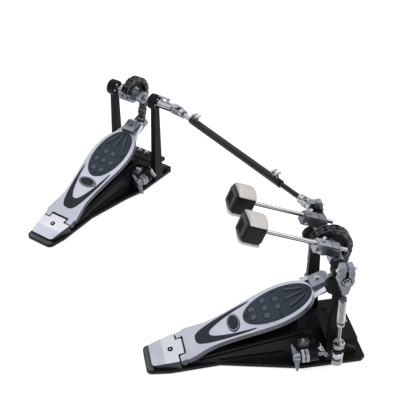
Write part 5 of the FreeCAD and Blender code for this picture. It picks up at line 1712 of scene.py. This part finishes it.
@dataclass
class Studio:
    """Camera, light and floor; the floor and the lamps are placed in metres."""

    eye: Point = (1139.7, -414.9, 1107.9)
    heading: Pair = (-0.9839, 0.1788)
    pitch: float = 34.56
    lens: float = 86.9
    sensor: float = 36.0
    clip_start: float = 0.05
    floor_half: float = 6.0
    floor_grey: float = 0.86
    floor_roughness: float = 0.9
    floor_lift: float = 0.7
    surround: Pair = (0.12, 0.42)
    surround_heights: Pair = (0.05, 0.75)
    backdrop: float = 1.0
    backdrop_edges: Pair = (-0.05, -0.58)
    backdrop_rise: Pair = (0.75, 1.1)
    backdrop_heights: Pair = (0.45, 0.85)
    lamps: tuple[tuple[str, Point, Point, float, float], ...] = (
        ("key softbox", (0.5, -1.5, 2.0), (-0.2, -0.1, 0.1), 2.6, 19.0),
        ("top softbox", (0.4, 0.9, 2.0), (-0.2, -0.1, 0.1), 2.0, 14.0),
        ("board softbox", (-1.6, -1.3, 2.0), (-0.5, -0.3, 0.1), 1.0, 1.2))

    def build(self) -> None:
        """Set up the whole stage."""
        bpy.context.scene.view_settings.view_transform = "Standard"
        self._camera()
        self._floor()
        self._world()
        for lamp in self.lamps:
            self._lamp(*lamp)

    def _camera(self) -> None:
        """Place the camera at the photograph's viewpoint."""
        data = bpy.data.cameras.new("photo camera")
        data.lens = self.lens
        data.sensor_width = self.sensor
        data.clip_start = self.clip_start
        camera = bpy.data.objects.new("photo camera", data)
        bpy.context.scene.collection.objects.link(camera)
        camera.location = Vector(self.eye) * MM
        down = math.radians(self.pitch)
        look = Vector((self.heading[0] * math.cos(down), self.heading[1] * math.cos(down), -math.sin(down)))
        camera.rotation_euler = look.to_track_quat("-Z", "Y").to_euler()
        bpy.context.scene.camera = camera

    def _floor(self) -> None:
        """A plain white floor that keeps a soft shadow."""
        bm = bmesh.new()
        bmesh.ops.create_grid(bm, x_segments=2, y_segments=2, size=self.floor_half)
        mesh = bpy.data.meshes.new("studio floor")
        bm.to_mesh(mesh)
        bm.free()
        floor = bpy.data.objects.new("studio_floor", mesh)
        bpy.context.scene.collection.objects.link(floor)
        material = bpy.data.materials.new("studio floor")
        material.use_nodes = True
        graph = NodeGraph(material.node_tree)
        shader = material.node_tree.nodes["Principled BSDF"].inputs
        shader["Base Color"].default_value = (self.floor_grey, self.floor_grey, self.floor_grey, 1)
        shader["Roughness"].default_value = self.floor_roughness
        shader["Emission Color"].default_value = (1, 1, 1, 1)
        graph.link(graph.scaled(self._seen(graph), self.floor_lift), shader["Emission Strength"])
        mesh.materials.append(material)

    @staticmethod
    def _seen(graph: NodeGraph) -> Socket:
        """A mask of the rays that show a background: the camera's, and those mirrored or let through."""
        rays = graph.add("ShaderNodeLightPath").outputs
        mirrored = graph.math("MAXIMUM", rays["Is Camera Ray"], rays["Is Glossy Ray"])
        return graph.math("MAXIMUM", mirrored, rays["Is Transmission Ray"])

    def _world(self) -> None:
        """A dim surround with a white backdrop behind the object, all white where the camera sees it."""
        world = bpy.data.worlds.new("studio")
        bpy.context.scene.world = world
        world.use_nodes = True
        graph = NodeGraph(world.node_tree)
        background = world.node_tree.nodes["Background"].inputs
        background["Color"].default_value = (1.0, 1.0, 1.0, 1)
        way = graph.parts(graph.add("ShaderNodeTexCoord").outputs["Generated"])
        light = graph.ranged(way["Z"], self.surround_heights, *self.surround)
        behind = graph.ranged(way["X"], self.backdrop_edges, 0.0, self.backdrop)
        rise = graph.ranged(way["Z"], self.backdrop_heights, *self.backdrop_rise)
        backdrop = graph.math("MULTIPLY", graph.math("MULTIPLY", behind, rise), self._seen(graph))
        rays = graph.add("ShaderNodeLightPath").outputs
        strength = graph.math("MAXIMUM", graph.math("MAXIMUM", light, backdrop), rays["Is Camera Ray"])
        graph.link(strength, background["Strength"])

    @staticmethod
    def _lamp(name: str, place: Point, target: Point, size: float, power: float) -> None:
        """Hang one square softbox that faces a point."""
        data = bpy.data.lights.new(name, "AREA")
        data.size = size
        data.energy = power
        lamp = bpy.data.objects.new(name, data)
        bpy.context.scene.collection.objects.link(lamp)
        lamp.location = place
        lamp.rotation_euler = (Vector(target) - Vector(place)).to_track_quat("-Z", "Y").to_euler()


def main() -> None:
    """Build the scene and report each piece."""
    logging.basicConfig(level=logging.INFO, format="%(message)s")
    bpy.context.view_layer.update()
    Studio().build()
    for side in Side:
        Base(side).build()
        Footboard(side).build()
        ChainDrive(side).build()
    Beater("front", LAYOUT.front_beater, "main_rotor", SATIN).build()
    # The rear holder takes the darker copy of the satin casting: painted shade
    Beater("rear", LAYOUT.rear_beater, "left_rotor", SHADED_HOLDER_SATIN).build()
    SpringSet("right", LAYOUT.right_spring, "main_rotor", 1).build()
    SpringSet("left", LAYOUT.left_spring, "left_rotor", -1).build()
    DriveShaft().build()


if __name__ == "__main__":
    main()
